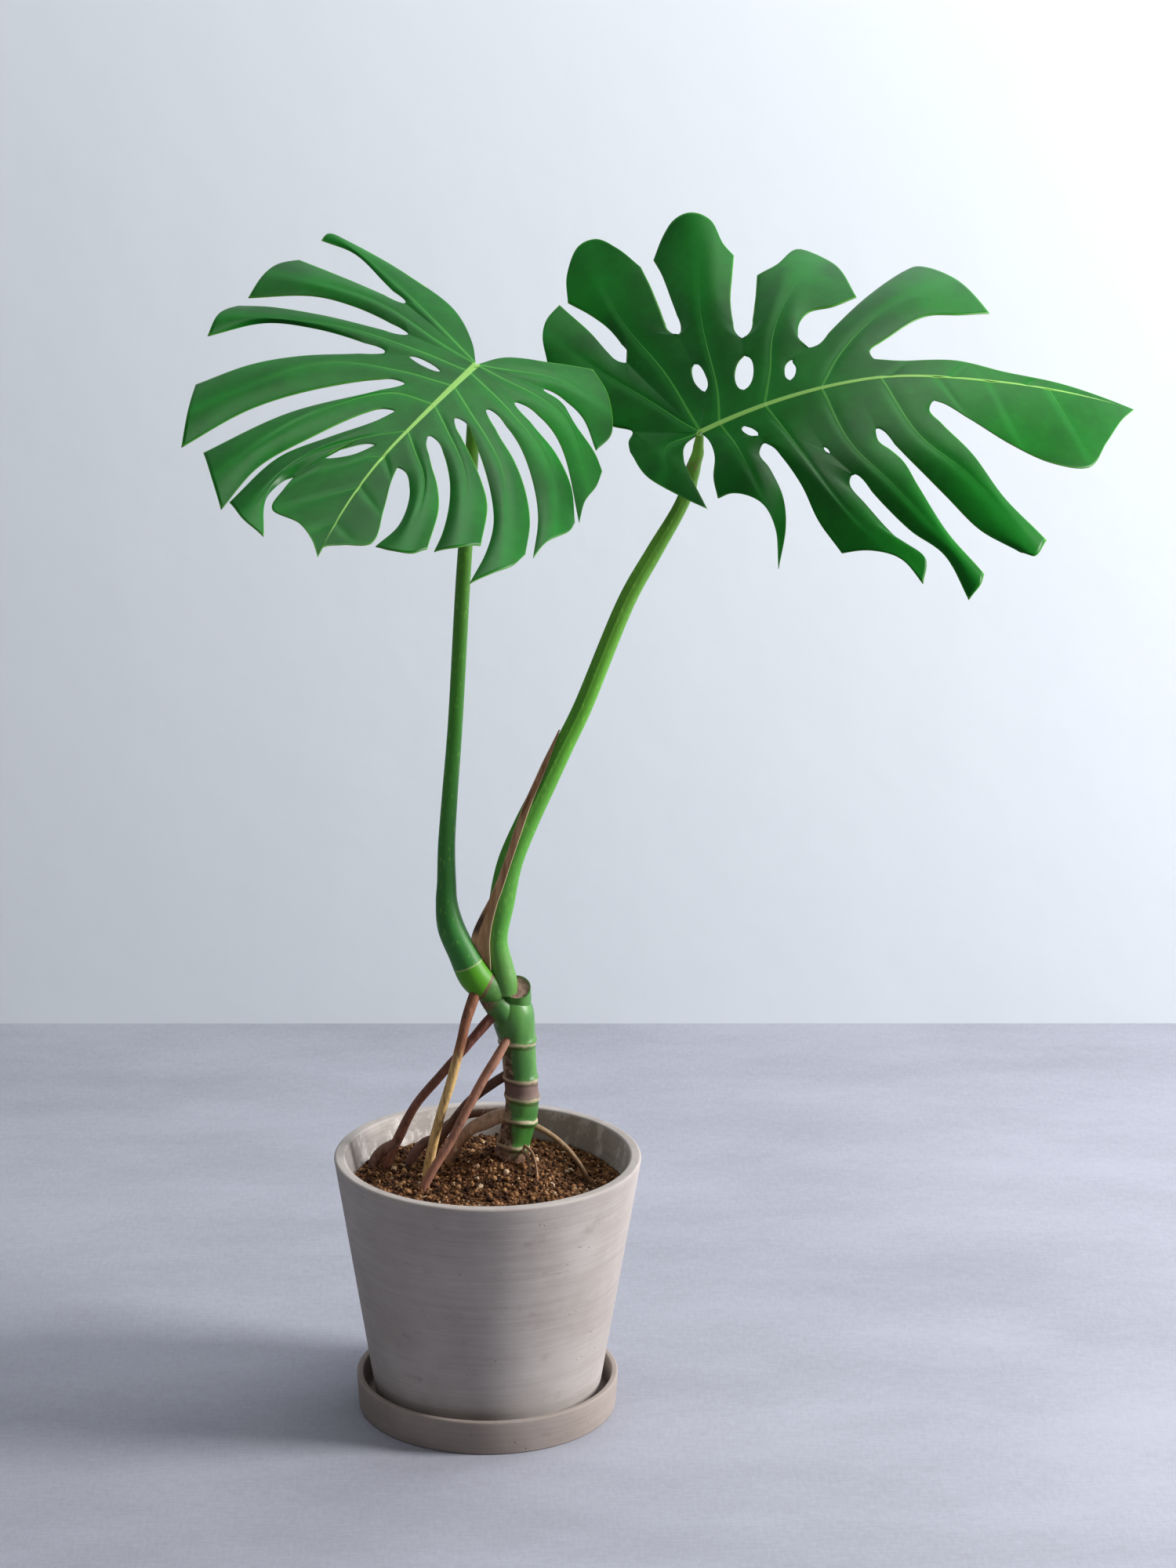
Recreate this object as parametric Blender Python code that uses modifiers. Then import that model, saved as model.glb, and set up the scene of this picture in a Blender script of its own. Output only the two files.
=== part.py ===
# Potted monstera plant: a tapered clay-grey pot on its saucer, filled with potting mix, carrying one
# young stem with two large split leaves on long stalks. Metres, +Z up, pot axis on the world's Z axis,
# the saucer's underside on z = 0.

import math

import bmesh
import bpy
import numpy as np
from mathutils import Matrix, Vector

# driving dimensions, in metres
RIM_RADIUS = 0.150
RIM_HEIGHT = 0.261
POT_TAPER = 0.159           # change of radius per unit of height
POT_WALL = 0.011
POT_FLOOR = 0.012
POT_FOOT = 0.0053           # underside of the pot, resting on the saucer's floor
DRAIN_RADIUS = 0.009
LIP_ROUND = 0.003

SAUCER_RADIUS = 0.1294
SAUCER_HEIGHT = 0.0346
SAUCER_WALL = 0.0065
SAUCER_FLOOR = 0.005
SAUCER_TAPER = 0.985        # foot radius over rim radius

SOIL_LEVEL = 0.234
SOIL_FLOOR = POT_FOOT + POT_FLOOR + 0.0003
FIT_GAP = 0.0004            # clearance between neighbouring pieces

LEAF_THICKNESS = 0.0012
ROUND_STEPS = 48

for thing in list(bpy.data.objects):
    bpy.data.objects.remove(thing, do_unlink=True)

plant_set = bpy.data.collections.new("potted_monstera")
cutter_set = bpy.data.collections.new("cutters")
cutter_set.hide_render = True
for group in (plant_set, cutter_set):
    bpy.context.scene.collection.children.link(group)


def material(name, colour, roughness, metallic=0.0):
    made = bpy.data.materials.new(name)
    made.use_nodes = True
    shader = made.node_tree.nodes["Principled BSDF"]
    shader.inputs["Base Color"].default_value = (*colour, 1.0)
    shader.inputs["Roughness"].default_value = roughness
    shader.inputs["Metallic"].default_value = metallic
    made.diffuse_color = (*colour, 1.0)
    return made


def place(name, mesh, mat, group=plant_set):
    thing = bpy.data.objects.new(name, mesh)
    group.objects.link(thing)
    if mat is not None:
        mesh.materials.clear()
        mesh.materials.append(mat)
    if group is cutter_set:
        thing.hide_render = True
        thing.display_type = "WIRE"
    return thing


def baked(thing):
    """Replace an object's stack by the mesh it makes."""
    bpy.context.view_layer.update()
    graph = bpy.context.evaluated_depsgraph_get()
    mesh = bpy.data.meshes.new_from_object(thing.evaluated_get(graph))
    thing.modifiers.clear()
    old = thing.data
    thing.data = mesh
    bpy.data.meshes.remove(old)
    return thing


def smooth(thing, angle=35.0):
    for face in thing.data.polygons:
        face.use_smooth = True
    thing.data.set_sharp_from_angle(angle=math.radians(angle))


def turned(name, profile, mat, steps=ROUND_STEPS):
    """Turn a closed (radius, height) outline about Z; the outline runs down its outer side."""
    mesh = bpy.data.meshes.new(name)
    points = [(r, 0.0, z) for r, z in profile]
    on_axis = profile[0][0] < 1e-9 and profile[-1][0] < 1e-9
    edges = [(i, i + 1) for i in range(len(points) - 1)]
    if not on_axis:
        edges.append((len(points) - 1, 0))
    mesh.from_pydata(points, edges, [])
    thing = place(name, mesh, mat)
    screw = thing.modifiers.new("turn", "SCREW")
    screw.axis = "Z"
    screw.angle = 2 * math.pi
    screw.steps = screw.render_steps = steps
    screw.use_merge_vertices = True
    screw.merge_threshold = 0.00002
    screw.use_normal_calculate = True
    return baked(thing)


def quarter(cx, cz, radius, start, end, count=3):
    """Points on an arc, angles in degrees."""
    turns = [math.radians(start + (end - start) * k / count) for k in range(count + 1)]
    return [(cx + radius * math.cos(a), cz + radius * math.sin(a)) for a in turns]


def facing_out(thing):
    shape = bmesh.new()
    shape.from_mesh(thing.data)
    bmesh.ops.recalc_face_normals(shape, faces=shape.faces)
    if shape.calc_volume(signed=True) < 0:
        bmesh.ops.reverse_faces(shape, faces=shape.faces)
    shape.to_mesh(thing.data)
    shape.free()
    return thing


def tube(name, path, mat, sides=12, group=plant_set, grow=0.0):
    """A stalk, stem or root: a capped tube through (x, y, z, radius) points."""
    curve = bpy.data.curves.new(name, "CURVE")
    curve.dimensions = "3D"
    curve.bevel_depth = 1.0
    curve.bevel_resolution = max(0, sides // 4 - 1)
    curve.render_resolution_u = 0
    curve.use_fill_caps = True
    line = curve.splines.new("POLY")
    line.points.add(len(path) - 1)
    for point, (x, y, z, radius) in zip(line.points, path):
        point.co = (x, y, z, 1.0)
        point.radius = radius + grow
    holder = bpy.data.objects.new(name + "_line", curve)
    cutter_set.objects.link(holder)
    bpy.context.view_layer.update()
    graph = bpy.context.evaluated_depsgraph_get()
    mesh = bpy.data.meshes.new_from_object(holder.evaluated_get(graph))
    bpy.data.objects.remove(holder)
    mesh.name = name
    shape = bmesh.new()
    shape.from_mesh(mesh)
    bmesh.ops.remove_doubles(shape, verts=shape.verts, dist=1e-5)
    shape.to_mesh(mesh)
    shape.free()
    return facing_out(place(name, mesh, mat, group))


def cut(thing, tool, how="DIFFERENCE"):
    step = thing.modifiers.new(tool.name, "BOOLEAN")
    step.operation = how
    step.solver = "EXACT"
    step.object = tool
    return baked(thing)


def through(points, shares):
    """Points at the given shares (0 to 1) of the length of a smooth curve through a few points."""
    knots = np.asarray(points, float)
    if len(knots) == 2:
        return knots[0] + (knots[1] - knots[0]) * np.asarray(shares, float)[:, None]
    gaps = np.sqrt(np.linalg.norm(np.diff(knots, axis=0), axis=1)) + 1e-9
    at = np.concatenate([[0.0], np.cumsum(gaps)])
    slopes = np.gradient(knots, at, axis=0)
    fine = np.linspace(0.0, at[-1], 40 * (len(knots) - 1) + 1)
    seg = np.clip(np.searchsorted(at, fine, "right") - 1, 0, len(knots) - 2)
    h = gaps[seg][:, None]
    t = ((fine - at[seg]) / gaps[seg])[:, None]
    curve = (
        (2 * t**3 - 3 * t**2 + 1) * knots[seg]
        + (t**3 - 2 * t**2 + t) * h * slopes[seg]
        + (-2 * t**3 + 3 * t**2) * knots[seg + 1]
        + (t**3 - t**2) * h * slopes[seg + 1]
    )
    run = np.concatenate([[0.0], np.cumsum(np.linalg.norm(np.diff(curve, axis=0), axis=1))])
    run /= run[-1]
    return np.stack([np.interp(shares, run, curve[:, c]) for c in range(curve.shape[1])], axis=1)


def eased(value, low, high):
    t = np.clip((value - low) / (high - low), 0.0, 1.0)
    return t * t * (3 - 2 * t)


def bent(points, count):
    """A tube path of evenly spaced (x, y, z, radius) in metres through a few given in millimetres."""
    return [tuple(p / 1000) for p in through(points, np.linspace(0, 1, count))]


# one material for each kind of piece
clay = material("warm_grey_clay", (0.31, 0.28, 0.25), 0.85)
clay_dish = material("saucer_clay", (0.30, 0.26, 0.22), 0.85)
mix = material("potting_mix", (0.055, 0.032, 0.020), 0.95)
bark = material("stem_green", (0.16, 0.22, 0.06), 0.60)
stalk_green = material("stalk_green", (0.13, 0.30, 0.05), 0.45)
papery = material("dry_sheath_tan", (0.48, 0.30, 0.15), 0.85)
blade_green = material("leaf_green", (0.03, 0.17, 0.03), 0.35)

# pot and saucer
def outer(z):
    return RIM_RADIUS - POT_TAPER * (RIM_HEIGHT - z)


def wall(z):
    """The potting mix's radius at a height: the pot's inside, less the clearance."""
    return outer(z) - POT_WALL - FIT_GAP


inner_floor = POT_FOOT + POT_FLOOR
pot_outline = (
    quarter(RIM_RADIUS - LIP_ROUND, RIM_HEIGHT - LIP_ROUND, LIP_ROUND, 90, 0)
    + [(outer(POT_FOOT) + 0.0003, POT_FOOT + 0.003), (outer(POT_FOOT) - 0.002, POT_FOOT)]
    + [(DRAIN_RADIUS, POT_FOOT), (DRAIN_RADIUS, inner_floor)]
    + [(outer(inner_floor) - POT_WALL - 0.006, inner_floor)]
    + [(outer(inner_floor + 0.006) - POT_WALL, inner_floor + 0.006)]
    + quarter(RIM_RADIUS - POT_WALL + LIP_ROUND, RIM_HEIGHT - LIP_ROUND, LIP_ROUND, 180, 90)
)
pot = facing_out(turned("pot", pot_outline, clay))
smooth(pot)

foot = SAUCER_RADIUS * SAUCER_TAPER
saucer_outline = (
    [(0.0, SAUCER_FLOOR)]
    + [(foot - SAUCER_WALL - 0.004, SAUCER_FLOOR), (foot - SAUCER_WALL, SAUCER_FLOOR + 0.004)]
    + quarter(SAUCER_RADIUS - SAUCER_WALL + 0.002, SAUCER_HEIGHT - 0.002, 0.002, 180, 90)
    + quarter(SAUCER_RADIUS - 0.002, SAUCER_HEIGHT - 0.002, 0.002, 90, 0)
    + [(foot, 0.002), (foot - 0.002, 0.0), (0.0, 0.0)]
)
saucer = facing_out(turned("saucer", saucer_outline, clay_dish))
smooth(saucer)


# potting mix
def soil_height(x, y):
    """Level mix heaped round the stem, a little hollow behind it on the right."""
    heap = 0.018 * np.exp(-((x - 0.018) ** 2 + (y - 0.025) ** 2) / (2 * 0.038**2))
    hollow = -0.020 * np.exp(-((x - 0.088) ** 2 + (y - 0.045) ** 2) / (2 * 0.034**2))
    waves = 0.0025 * np.sin(38 * x + 1.0) * np.cos(33 * y) + 0.0015 * np.sin(71 * y - 47 * x)
    return SOIL_LEVEL + heap + hollow + waves


rings = np.linspace(0.0, 1.0, 10)
soil_outline = (
    [(wall(SOIL_LEVEL) * s, SOIL_LEVEL) for s in rings]
    + [(wall(0.16), 0.16), (wall(SOIL_FLOOR + 0.0075), SOIL_FLOOR + 0.0075)]
    + [(wall(SOIL_FLOOR) - 0.0075, SOIL_FLOOR), (0.0, SOIL_FLOOR)]
)
soil = turned("soil", soil_outline, mix, 40)
for vertex in soil.data.vertices:
    x, y, z = vertex.co
    if z > SOIL_LEVEL - 1e-6:
        radius = math.hypot(x, y)
        edge = eased(radius, 0.8 * wall(SOIL_LEVEL), wall(SOIL_LEVEL))
        lift = float(soil_height(x, y)) - SOIL_LEVEL
        vertex.co.z = SOIL_LEVEL + lift * (1 - 0.8 * float(edge)) - 0.004 * float(edge)
        if radius > 0.5 * wall(SOIL_LEVEL):
            keep = (wall(vertex.co.z) - 0.0001) / wall(SOIL_LEVEL)
            vertex.co.x *= keep
            vertex.co.y *= keep
facing_out(soil)

# stem and aerial roots, as centre-lines with a radius, in millimetres
stem_line = [
    (14, 22, 205, 15), (19, 20, 240, 15), (27, 20, 272, 16), (33, 20, 303, 16.5),
    (31, 20, 342, 16.5), (29, 20, 372, 17), (28, 19, 392, 17.8), (28, 19, 404, 17), (25, 19, 414, 13),
]
roots = [
    [(17, 14, 402, 6.0), (2, 2, 411, 5.8), (-11, -8, 416, 5.6), (-20, -13, 405, 5.2), (-26, -14, 380, 4.8),
     (-36, -15, 340, 4.6), (-48, -9, 297, 4.6), (-59, 3, 240, 4.8), (-61, 5, 216, 4.0)],
    [(22, 14, 388, 5.2), (4, 4, 391, 5.0), (-24, 2, 367, 4.6), (-48, 6, 337, 4.4), (-71, 15, 305, 4.4),
     (-86, 25, 272, 5.0), (-95, 30, 250, 5.0), (-103, 35, 226, 5.0), (-105, 36, 212, 4.6)],
    [(22, 10, 362, 5.0), (8, -2, 356, 4.8), (-3, -8, 343, 4.6), (-18, -13, 315, 4.6),
     (-37, -18, 279, 4.4), (-62, -27, 236, 4.4), (-66, -29, 214, 4.0)],
    [(22, 24, 336, 5.0), (2, 26, 322, 4.8), (-18, 30, 304, 4.6), (-38, 36, 276, 4.4),
     (-54, 46, 244, 4.4), (-58, 49, 214, 4.2)],
    [(26, 20, 296, 7.0), (12, 20, 292, 7.0), (-4, 20, 285, 7.0), (-18, 24, 276, 6.0), (-28, 28, 262, 5.4),
     (-38, 31, 238, 5.0), (-41, 32, 214, 4.6)],
    [(28, 26, 294, 4.6), (4, 50, 285, 4.4), (-20, 66, 277, 4.2), (-46, 78, 256, 4.2), (-58, 84, 216, 4.0)],
    [(40, 20, 284, 3.2), (52, 20, 279, 3.0), (70, 20, 266, 2.8), (86, 20, 248, 2.6), (98, 20, 226, 2.6),
     (102, 20, 206, 2.4)],
    [(-89, 27, 262, 5.2), (-104, 31, 252, 5.4), (-112, 36, 238, 5.4), (-114, 38, 214, 5.0)],
    [(-46, 40, 262, 4.6), (-62, 44, 256, 5.0), (-75, 42, 240, 5.0), (-82, 42, 214, 4.8)],
]
stem = facing_out(tube("stem", bent(stem_line, 22), bark, 16))
for number, line in enumerate(roots, 1):
    limb = tube(f"root_{number}", bent(line, 13), None, 8, cutter_set)
    cut(stem, limb, "UNION")
    sleeve = tube(f"root_hole_{number}", bent(line, 13), None, 8, cutter_set, 0.0005)
    cut(soil, sleeve)
cut(soil, tube("stem_hole", bent(stem_line, 22), None, 16, cutter_set, 0.0005))

# the stub left where an older stalk was cut away, a flat oval face beside the growing stalks
stub_line = [(27, 18, 404, 14), (28, 14, 418, 13.5), (28, 6, 430, 12.5)]
cut(stem, tube("stub_body", bent(stub_line, 4), None, 12, cutter_set), "UNION")
smooth(stem, 50)
facing_out(soil)
smooth(soil, 50)

# leaf stalks, in millimetres
left_line = [
    (10, 8, 424, 12), (0, 4, 430, 15), (-12, 0, 442, 16), (-25, 0, 467, 14), (-36, 0, 493, 13),
    (-40, 2, 517, 10.5), (-40, 4, 535, 9.3), (-40, 6, 571, 8.3), (-37, 10, 619, 7.6), (-32, 16, 685, 7.1),
    (-24, 26, 831, 7.0), (-17, 31, 931, 6.4), (-14, 33, 985, 6.2), (-12.5, 32, 1012, 5.6), (-12.2, 30.8, 1023, 4.6),
]
right_line = [
    (15, 11, 434, 10), (9, 10, 452, 11), (8, 6, 477, 10.5), (13, 2, 517, 12.3), (21, 0, 557, 12),
    (36, -2, 596, 11.2), (54, -3, 635, 10.2), (72, -3, 674, 9.4), (88, -2, 708, 9), (131, 0, 816, 8.4),
    (155, 1, 860, 7.8), (180, 2, 905, 6.6), (189, 3, 930, 7.0), (193, 3, 948, 6.2), (195.2, 2.4, 962, 4.6),
]


left_stalk = tube("left_stalk", bent(left_line, 30), stalk_green, 12)
right_stalk = tube("right_stalk", bent(right_line, 32), stalk_green, 12)
for limb in (left_stalk, right_stalk):
    cut(limb, tube(limb.name + "_clear", bent(stem_line, 22), None, 16, cutter_set, FIT_GAP))
    cut(limb, tube(limb.name + "_clear_stub", bent(stub_line, 4), None, 12, cutter_set, FIT_GAP))
cut(left_stalk, bpy.data.objects["root_hole_1"])
cut(right_stalk, tube("left_base_clear", bent(left_line, 30), None, 12, cutter_set, FIT_GAP))
for limb in (left_stalk, right_stalk):
    smooth(limb, 50)


# A papery strip left on the front of the right stalk, wide and torn at the foot, drawn to a point above.
sheath_centre = [(-1, 455), (-2, 482), (0, 506), (7, 533), (19, 568), (39, 622), (68, 690)]
sheath_width = [17, 16, 10, 7, 7, 6, 1.5]
sheath_rows, sheath_cols = 18, 4
line = through(right_line, np.linspace(0.02, 0.55, 160))
spine = through(sheath_centre, np.linspace(0, 1, sheath_rows + 1))
wide = np.interp(np.linspace(0, 1, sheath_rows + 1), np.linspace(0, 1, len(sheath_width)), sheath_width)
shape = bmesh.new()
made = {}
for j in range(sheath_rows + 1):
    near_point = line[np.argmin(np.abs(line[:, 2] - spine[j, 1]))]
    turn0 = math.asin(max(-0.9, min(0.9, (spine[j, 0] - near_point[0]) / (near_point[3] + 1.2))))
    for i in range(sheath_cols + 1):
        turn = turn0 + (i / sheath_cols - 0.5) * wide[j] / (near_point[3] + 1.2)
        reach = near_point[3] + 1.4
        spot = (near_point[0] + reach * math.sin(turn), near_point[1] - reach * math.cos(turn), spine[j, 1])
        made[j, i] = shape.verts.new([v / 1000 for v in spot])
for j in range(sheath_rows):
    for i in range(sheath_cols):
        shape.faces.new([made[j, i], made[j, i + 1], made[j + 1, i + 1], made[j + 1, i]])
mesh = bpy.data.meshes.new("dry_sheath")
shape.to_mesh(mesh)
shape.free()
dry_sheath = place("dry_sheath", mesh, papery)
sheet = dry_sheath.modifiers.new("thickness", "SOLIDIFY")
sheet.thickness = 0.0008
sheet.offset = 1.0
baked(dry_sheath)
cut(dry_sheath, tube("sheath_clear", bent(left_line, 30), None, 12, cutter_set, FIT_GAP))
facing_out(dry_sheath)
smooth(dry_sheath, 60)


# A blade lies over a plane whose X runs along the midrib from the stalk and whose Y runs to one side.
# Each lobe is a strip: it leaves the midrib between two seams, is joined to its neighbours up to the
# bottom of the slits, then runs free to its end. Lengths are in millimetres on that plane.
def lobe(side, seams, near, end, far, vein, swell=5.0):
    return dict(side=side, seams=seams, near=near, end=end, far=far, vein=vein, swell=swell)


SEAM_ROWS = 3
FREE_ROWS = 6


def blade_rows(spec, midrib, stations, columns):
    """The grid of a lobe: rows from the midrib to the lobe's end, columns from its base side to its tip side."""
    first, last = spec["seams"]
    rows = SEAM_ROWS + FREE_ROWS
    fan = first == last
    cols = 4 if fan else int(sum(columns[first:last]))
    if fan:
        start = np.repeat(midrib([stations[first]]), cols + 1, axis=0)
    else:
        marks = [np.linspace(stations[k], stations[k + 1], columns[k] + 1)[:-1] for k in range(first, last)]
        start = midrib(np.concatenate(marks + [[stations[last]]]))
    if len(spec["far"]) == 1:
        # half of the leaf's tip: rows step from the midrib to the margin that runs on to the apex
        margin = through(spec["near"] + spec["end"] + spec["far"], np.linspace(0, 1, cols + 1))
        steps = np.linspace(0, 1, SEAM_ROWS + 1)[:, None, None]
        return start + steps * (margin - start)

    def side_line(points, root):
        points = np.asarray(points, float)
        if tuple(points[0]) == (0, 0):
            return through(points, np.linspace(0, 1, rows + 1)), SEAM_ROWS / rows
        seam = np.linspace(0, 1, SEAM_ROWS + 1)[:, None] * (points[0] - root) + root
        free = through(points, np.linspace(0, 1, FREE_ROWS + 1)[1:] ** 1.15)
        joined = np.linalg.norm(points[0] - root)
        length = np.linalg.norm(np.diff(points, axis=0), axis=1).sum()
        return np.concatenate([seam, free]), joined / (joined + length)

    near, near_joined = side_line(spec["near"], start[0])
    far, far_joined = side_line(spec["far"], start[-1])
    meet = (near_joined + far_joined) / 2
    pace = np.concatenate([np.linspace(0, meet, SEAM_ROWS + 1), np.linspace(meet, 1, FREE_ROWS + 1)[1:]])
    share = np.linspace(0, 1, cols + 1)[:, None]
    end = through([near[-1]] + spec["end"] + [far[-1]], share[:, 0])
    middle = through([start[cols // 2]] + spec["vein"] + [end[cols // 2]], pace)
    push = 1 - np.abs(2 * share - 1)
    grid = np.zeros((rows + 1, cols + 1, 2))
    for j in range(rows + 1):
        grid[j] = near[j] + (far[j] - near[j]) * share + push * (middle[j] - (near[j] + far[j]) / 2)
    settle = (np.arange(rows + 1)[:, None, None] / rows) ** 3
    grid += settle * (end - grid[-1])
    grid[0] = start
    return grid


def blade(name, lobes, holes, midrib, stations, columns, height, origin, along, normal, mat):
    """A split leaf blade as one thin solid; a hole is (x, y, length, width, turn in degrees)."""
    ex = Vector(along).normalized()
    ez = Vector(normal)
    ez = (ez - ez.dot(ex) * ex).normalized()
    ey = ez.cross(ex)
    shape = bmesh.new()
    for spec in lobes:
        grid = blade_rows(spec, midrib, stations, columns)
        rows, cols = grid.shape[0] - 1, grid.shape[1] - 1
        x, y = grid[..., 0] / 1000, grid[..., 1] / 1000
        share = np.linspace(-1, 1, cols + 1)[None, :]
        free = eased(np.arange(rows + 1) / rows, 0.05, 0.7)[:, None]
        z = height(x, y) + spec["swell"] / 1000 * (1 - share**2) * free
        made = {}
        for j in range(rows + 1):
            for i in range(cols + 1):
                spot = Vector(origin) + float(x[j, i]) * ex + float(y[j, i]) * ey + float(z[j, i]) * ez
                made[j, i] = shape.verts.new(spot)
        for j in range(rows):
            for i in range(cols):
                ring = [made[j, i], made[j, i + 1], made[j + 1, i + 1], made[j + 1, i]]
                shape.faces.new(ring if spec["side"] > 0 else ring[::-1])
    bmesh.ops.remove_doubles(shape, verts=shape.verts, dist=2e-5)
    bmesh.ops.dissolve_degenerate(shape, edges=shape.edges, dist=1e-6)
    mesh = bpy.data.meshes.new(name)
    shape.to_mesh(mesh)
    shape.free()
    thing = place(name, mesh, mat)
    sheet = thing.modifiers.new("thickness", "SOLIDIFY")
    sheet.thickness = LEAF_THICKNESS
    sheet.offset = -1.0
    baked(thing)
    for number, (x, y, length, width, turn) in enumerate(holes):
        shape = bmesh.new()
        bmesh.ops.create_cone(
            shape, cap_ends=True, segments=12, radius1=0.5, radius2=0.5, depth=0.03,
            matrix=Matrix.Rotation(math.radians(turn), 4, "Z") @ Matrix.Diagonal((length / 1000, width / 1000, 1, 1)),
        )
        across = Matrix((ex, ey, ez)).transposed()
        x, y = x / 1000, y / 1000
        centre = Vector(origin) + x * ex + y * ey + float(height(x, y)) * ez
        shape.transform(Matrix.Translation(centre) @ across.to_4x4())
        punch = bpy.data.meshes.new(f"{name}_hole_{number}")
        shape.to_mesh(punch)
        shape.free()
        cut(thing, place(punch.name, punch, None, cutter_set))
    smooth(thing, 60)
    return thing


# left leaf: blade about 0.30 m along the midrib, tilted down towards its tip
left_stations = [0, 26, 54, 93, 144, 296]
left_columns = [4, 4, 4, 4, 10]


def left_midrib(s):
    s = np.asarray(s, float)
    return np.stack([s, 21 * np.clip((s - 130) / 166, 0, 1) ** 2], axis=1)


def left_height(x, y):
    """Flat on one side, drooping on the other."""
    droop = np.where(y > 0, 2.1 - 1.3 * eased(x, 0.02, 0.25), 0.35)
    return -droop * y * y - 0.25 * x * x


A, B = -1, 1
left_lobes = [
    lobe(A, (0, 0), [(0, 0), (-27, -21), (-63, -64), (-89, -132), (-115, -224)], [(-111, -237)],
         [(-45, -107), (-64, -142), (-94, -196), (-101, -238)], [(-36, -70), (-74, -145)], 3),
    lobe(A, (0, 0), [(-45, -107), (-45, -121), (-50, -168), (-59, -236)], [(-38, -246), (-17, -247)],
         [(-2, -76), (-8, -98), (-13, -145), (-8, -190), (22, -240)], [(-8, -45), (-28, -128)]),
    lobe(A, (0, 1), [(-2, -76), (3, -90), (15, -162), (26, -212), (38, -240)], [(63, -245)],
         [(34, -79), (32, -90), (38, -155), (52, -200), (94, -237)], [(15, -56), (25, -130)]),
    lobe(A, (1, 2), [(34, -79), (52, -102), (82, -144), (113, -175), (162, -203)], [(202, -184)],
         [(63, -38), (67, -55), (104, -94), (166, -137), (242, -163)], [(50, -50), (78, -111)]),
    lobe(A, (2, 3), [(63, -38), (88, -55), (154, -104), (239, -141)], [(268, -112)],
         [(102, -24), (110, -40), (180, -71), (230, -86), (293, -84)], [(81, -41), (147, -83)]),
    lobe(A, (3, 4), [(102, -24), (124, -32), (164, -55), (210, -78), (282, -83)], [(297, -58)],
         [(226, -52), (237, -57), (262, -57), (301, -33)], [(150, -29), (212, -60)]),
    lobe(A, (4, 5), [(226, -52), (243, -51), (269, -46)], [(271, -16), (281, 4)], [(296, 21)], [], 0),
    lobe(B, (0, 0), [(0, 0), (-26, 15), (-54, 52), (-80, 82)], [(-64, 109), (-30, 134)],
         [(-17, 65), (-22, 82), (-21, 106), (-2, 134)], [(-14, 28), (-38, 70)], 3),
    lobe(B, (0, 0), [(-17, 65), (-19, 81), (-7, 107), (2, 135), (11, 149)], [(31, 155), (58, 158)],
         [(19, 55), (15, 73), (18, 95), (31, 118), (80, 166)], [(0, 30), (-2, 100)], 3),
    lobe(B, (0, 1), [(19, 55), (30, 83), (38, 113), (54, 140), (85, 164)], [(103, 168), (139, 164)],
         [(46, 41), (48, 56), (60, 85), (86, 117), (117, 142), (163, 165)], [(33, 58), (60, 119)]),
    lobe(B, (1, 2), [(46, 41), (65, 65), (80, 92), (100, 117), (128, 140), (167, 159)], [(193, 161), (214, 154)],
         [(76, 25), (78, 39), (100, 67), (133, 100), (162, 121), (198, 135), (237, 143)], [(60, 31), (106, 97)]),
    lobe(B, (2, 3), [(76, 25), (89, 37), (107, 61), (125, 84), (147, 105), (193, 127)], [(214, 116)],
         [(112, 19), (117, 34), (142, 60), (171, 79), (206, 94), (229, 100)], [(95, 28), (135, 73)]),
    lobe(B, (3, 4), [(112, 19), (122, 24), (142, 41), (160, 59), (184, 76), (231, 94)], [(247, 88), (256, 70)],
         [(165, 19), (168, 30), (186, 46), (224, 59), (257, 56)], [(137, 20), (169, 51)]),
    lobe(B, (4, 5), [(165, 19), (182, 24), (216, 38), (256, 51)], [(272, 31), (283, 19)], [(296, 21)], [], 0),
]
left_holes = [(27.8, -38.6, 34.6, 8.6, 94), (170.2, -28.3, 44.9, 12.0, 145)]
left_leaf = blade(
    "left_leaf", left_lobes, left_holes, left_midrib, left_stations, left_columns, left_height,
    (-0.0123, 0.030, 1.031), (-0.522, -0.766, -0.376), (0.079, -0.482, 0.873), blade_green,
)

# right leaf: blade about 0.41 m along an arched midrib, its near side hanging, its far side rising
right_stations = [0, 35, 82, 138, 190, 410]
right_columns = [4, 4, 4, 4, 10]


def right_midrib(s):
    s = np.asarray(s, float)
    return np.stack([s, 19 * np.clip((s - 250) / 160, 0, 1) ** 2 - 6 * eased(s, 150, 260)], axis=1)


def right_height(x, y):
    """An arch along the midrib, the blade falling away on both sides, less so near the stalk."""
    arch = 0.637 * x + np.where(x > 0, -1.584, 1.6) * x * x
    far_side = -0.2 + 1.4 * eased(x, 0.0, 0.18)
    near_side = 1.45 * (0.35 + 0.65 * eased(x, -0.1, 0.1))
    return arch - np.where(y < 0, near_side, far_side) * y * y


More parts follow.
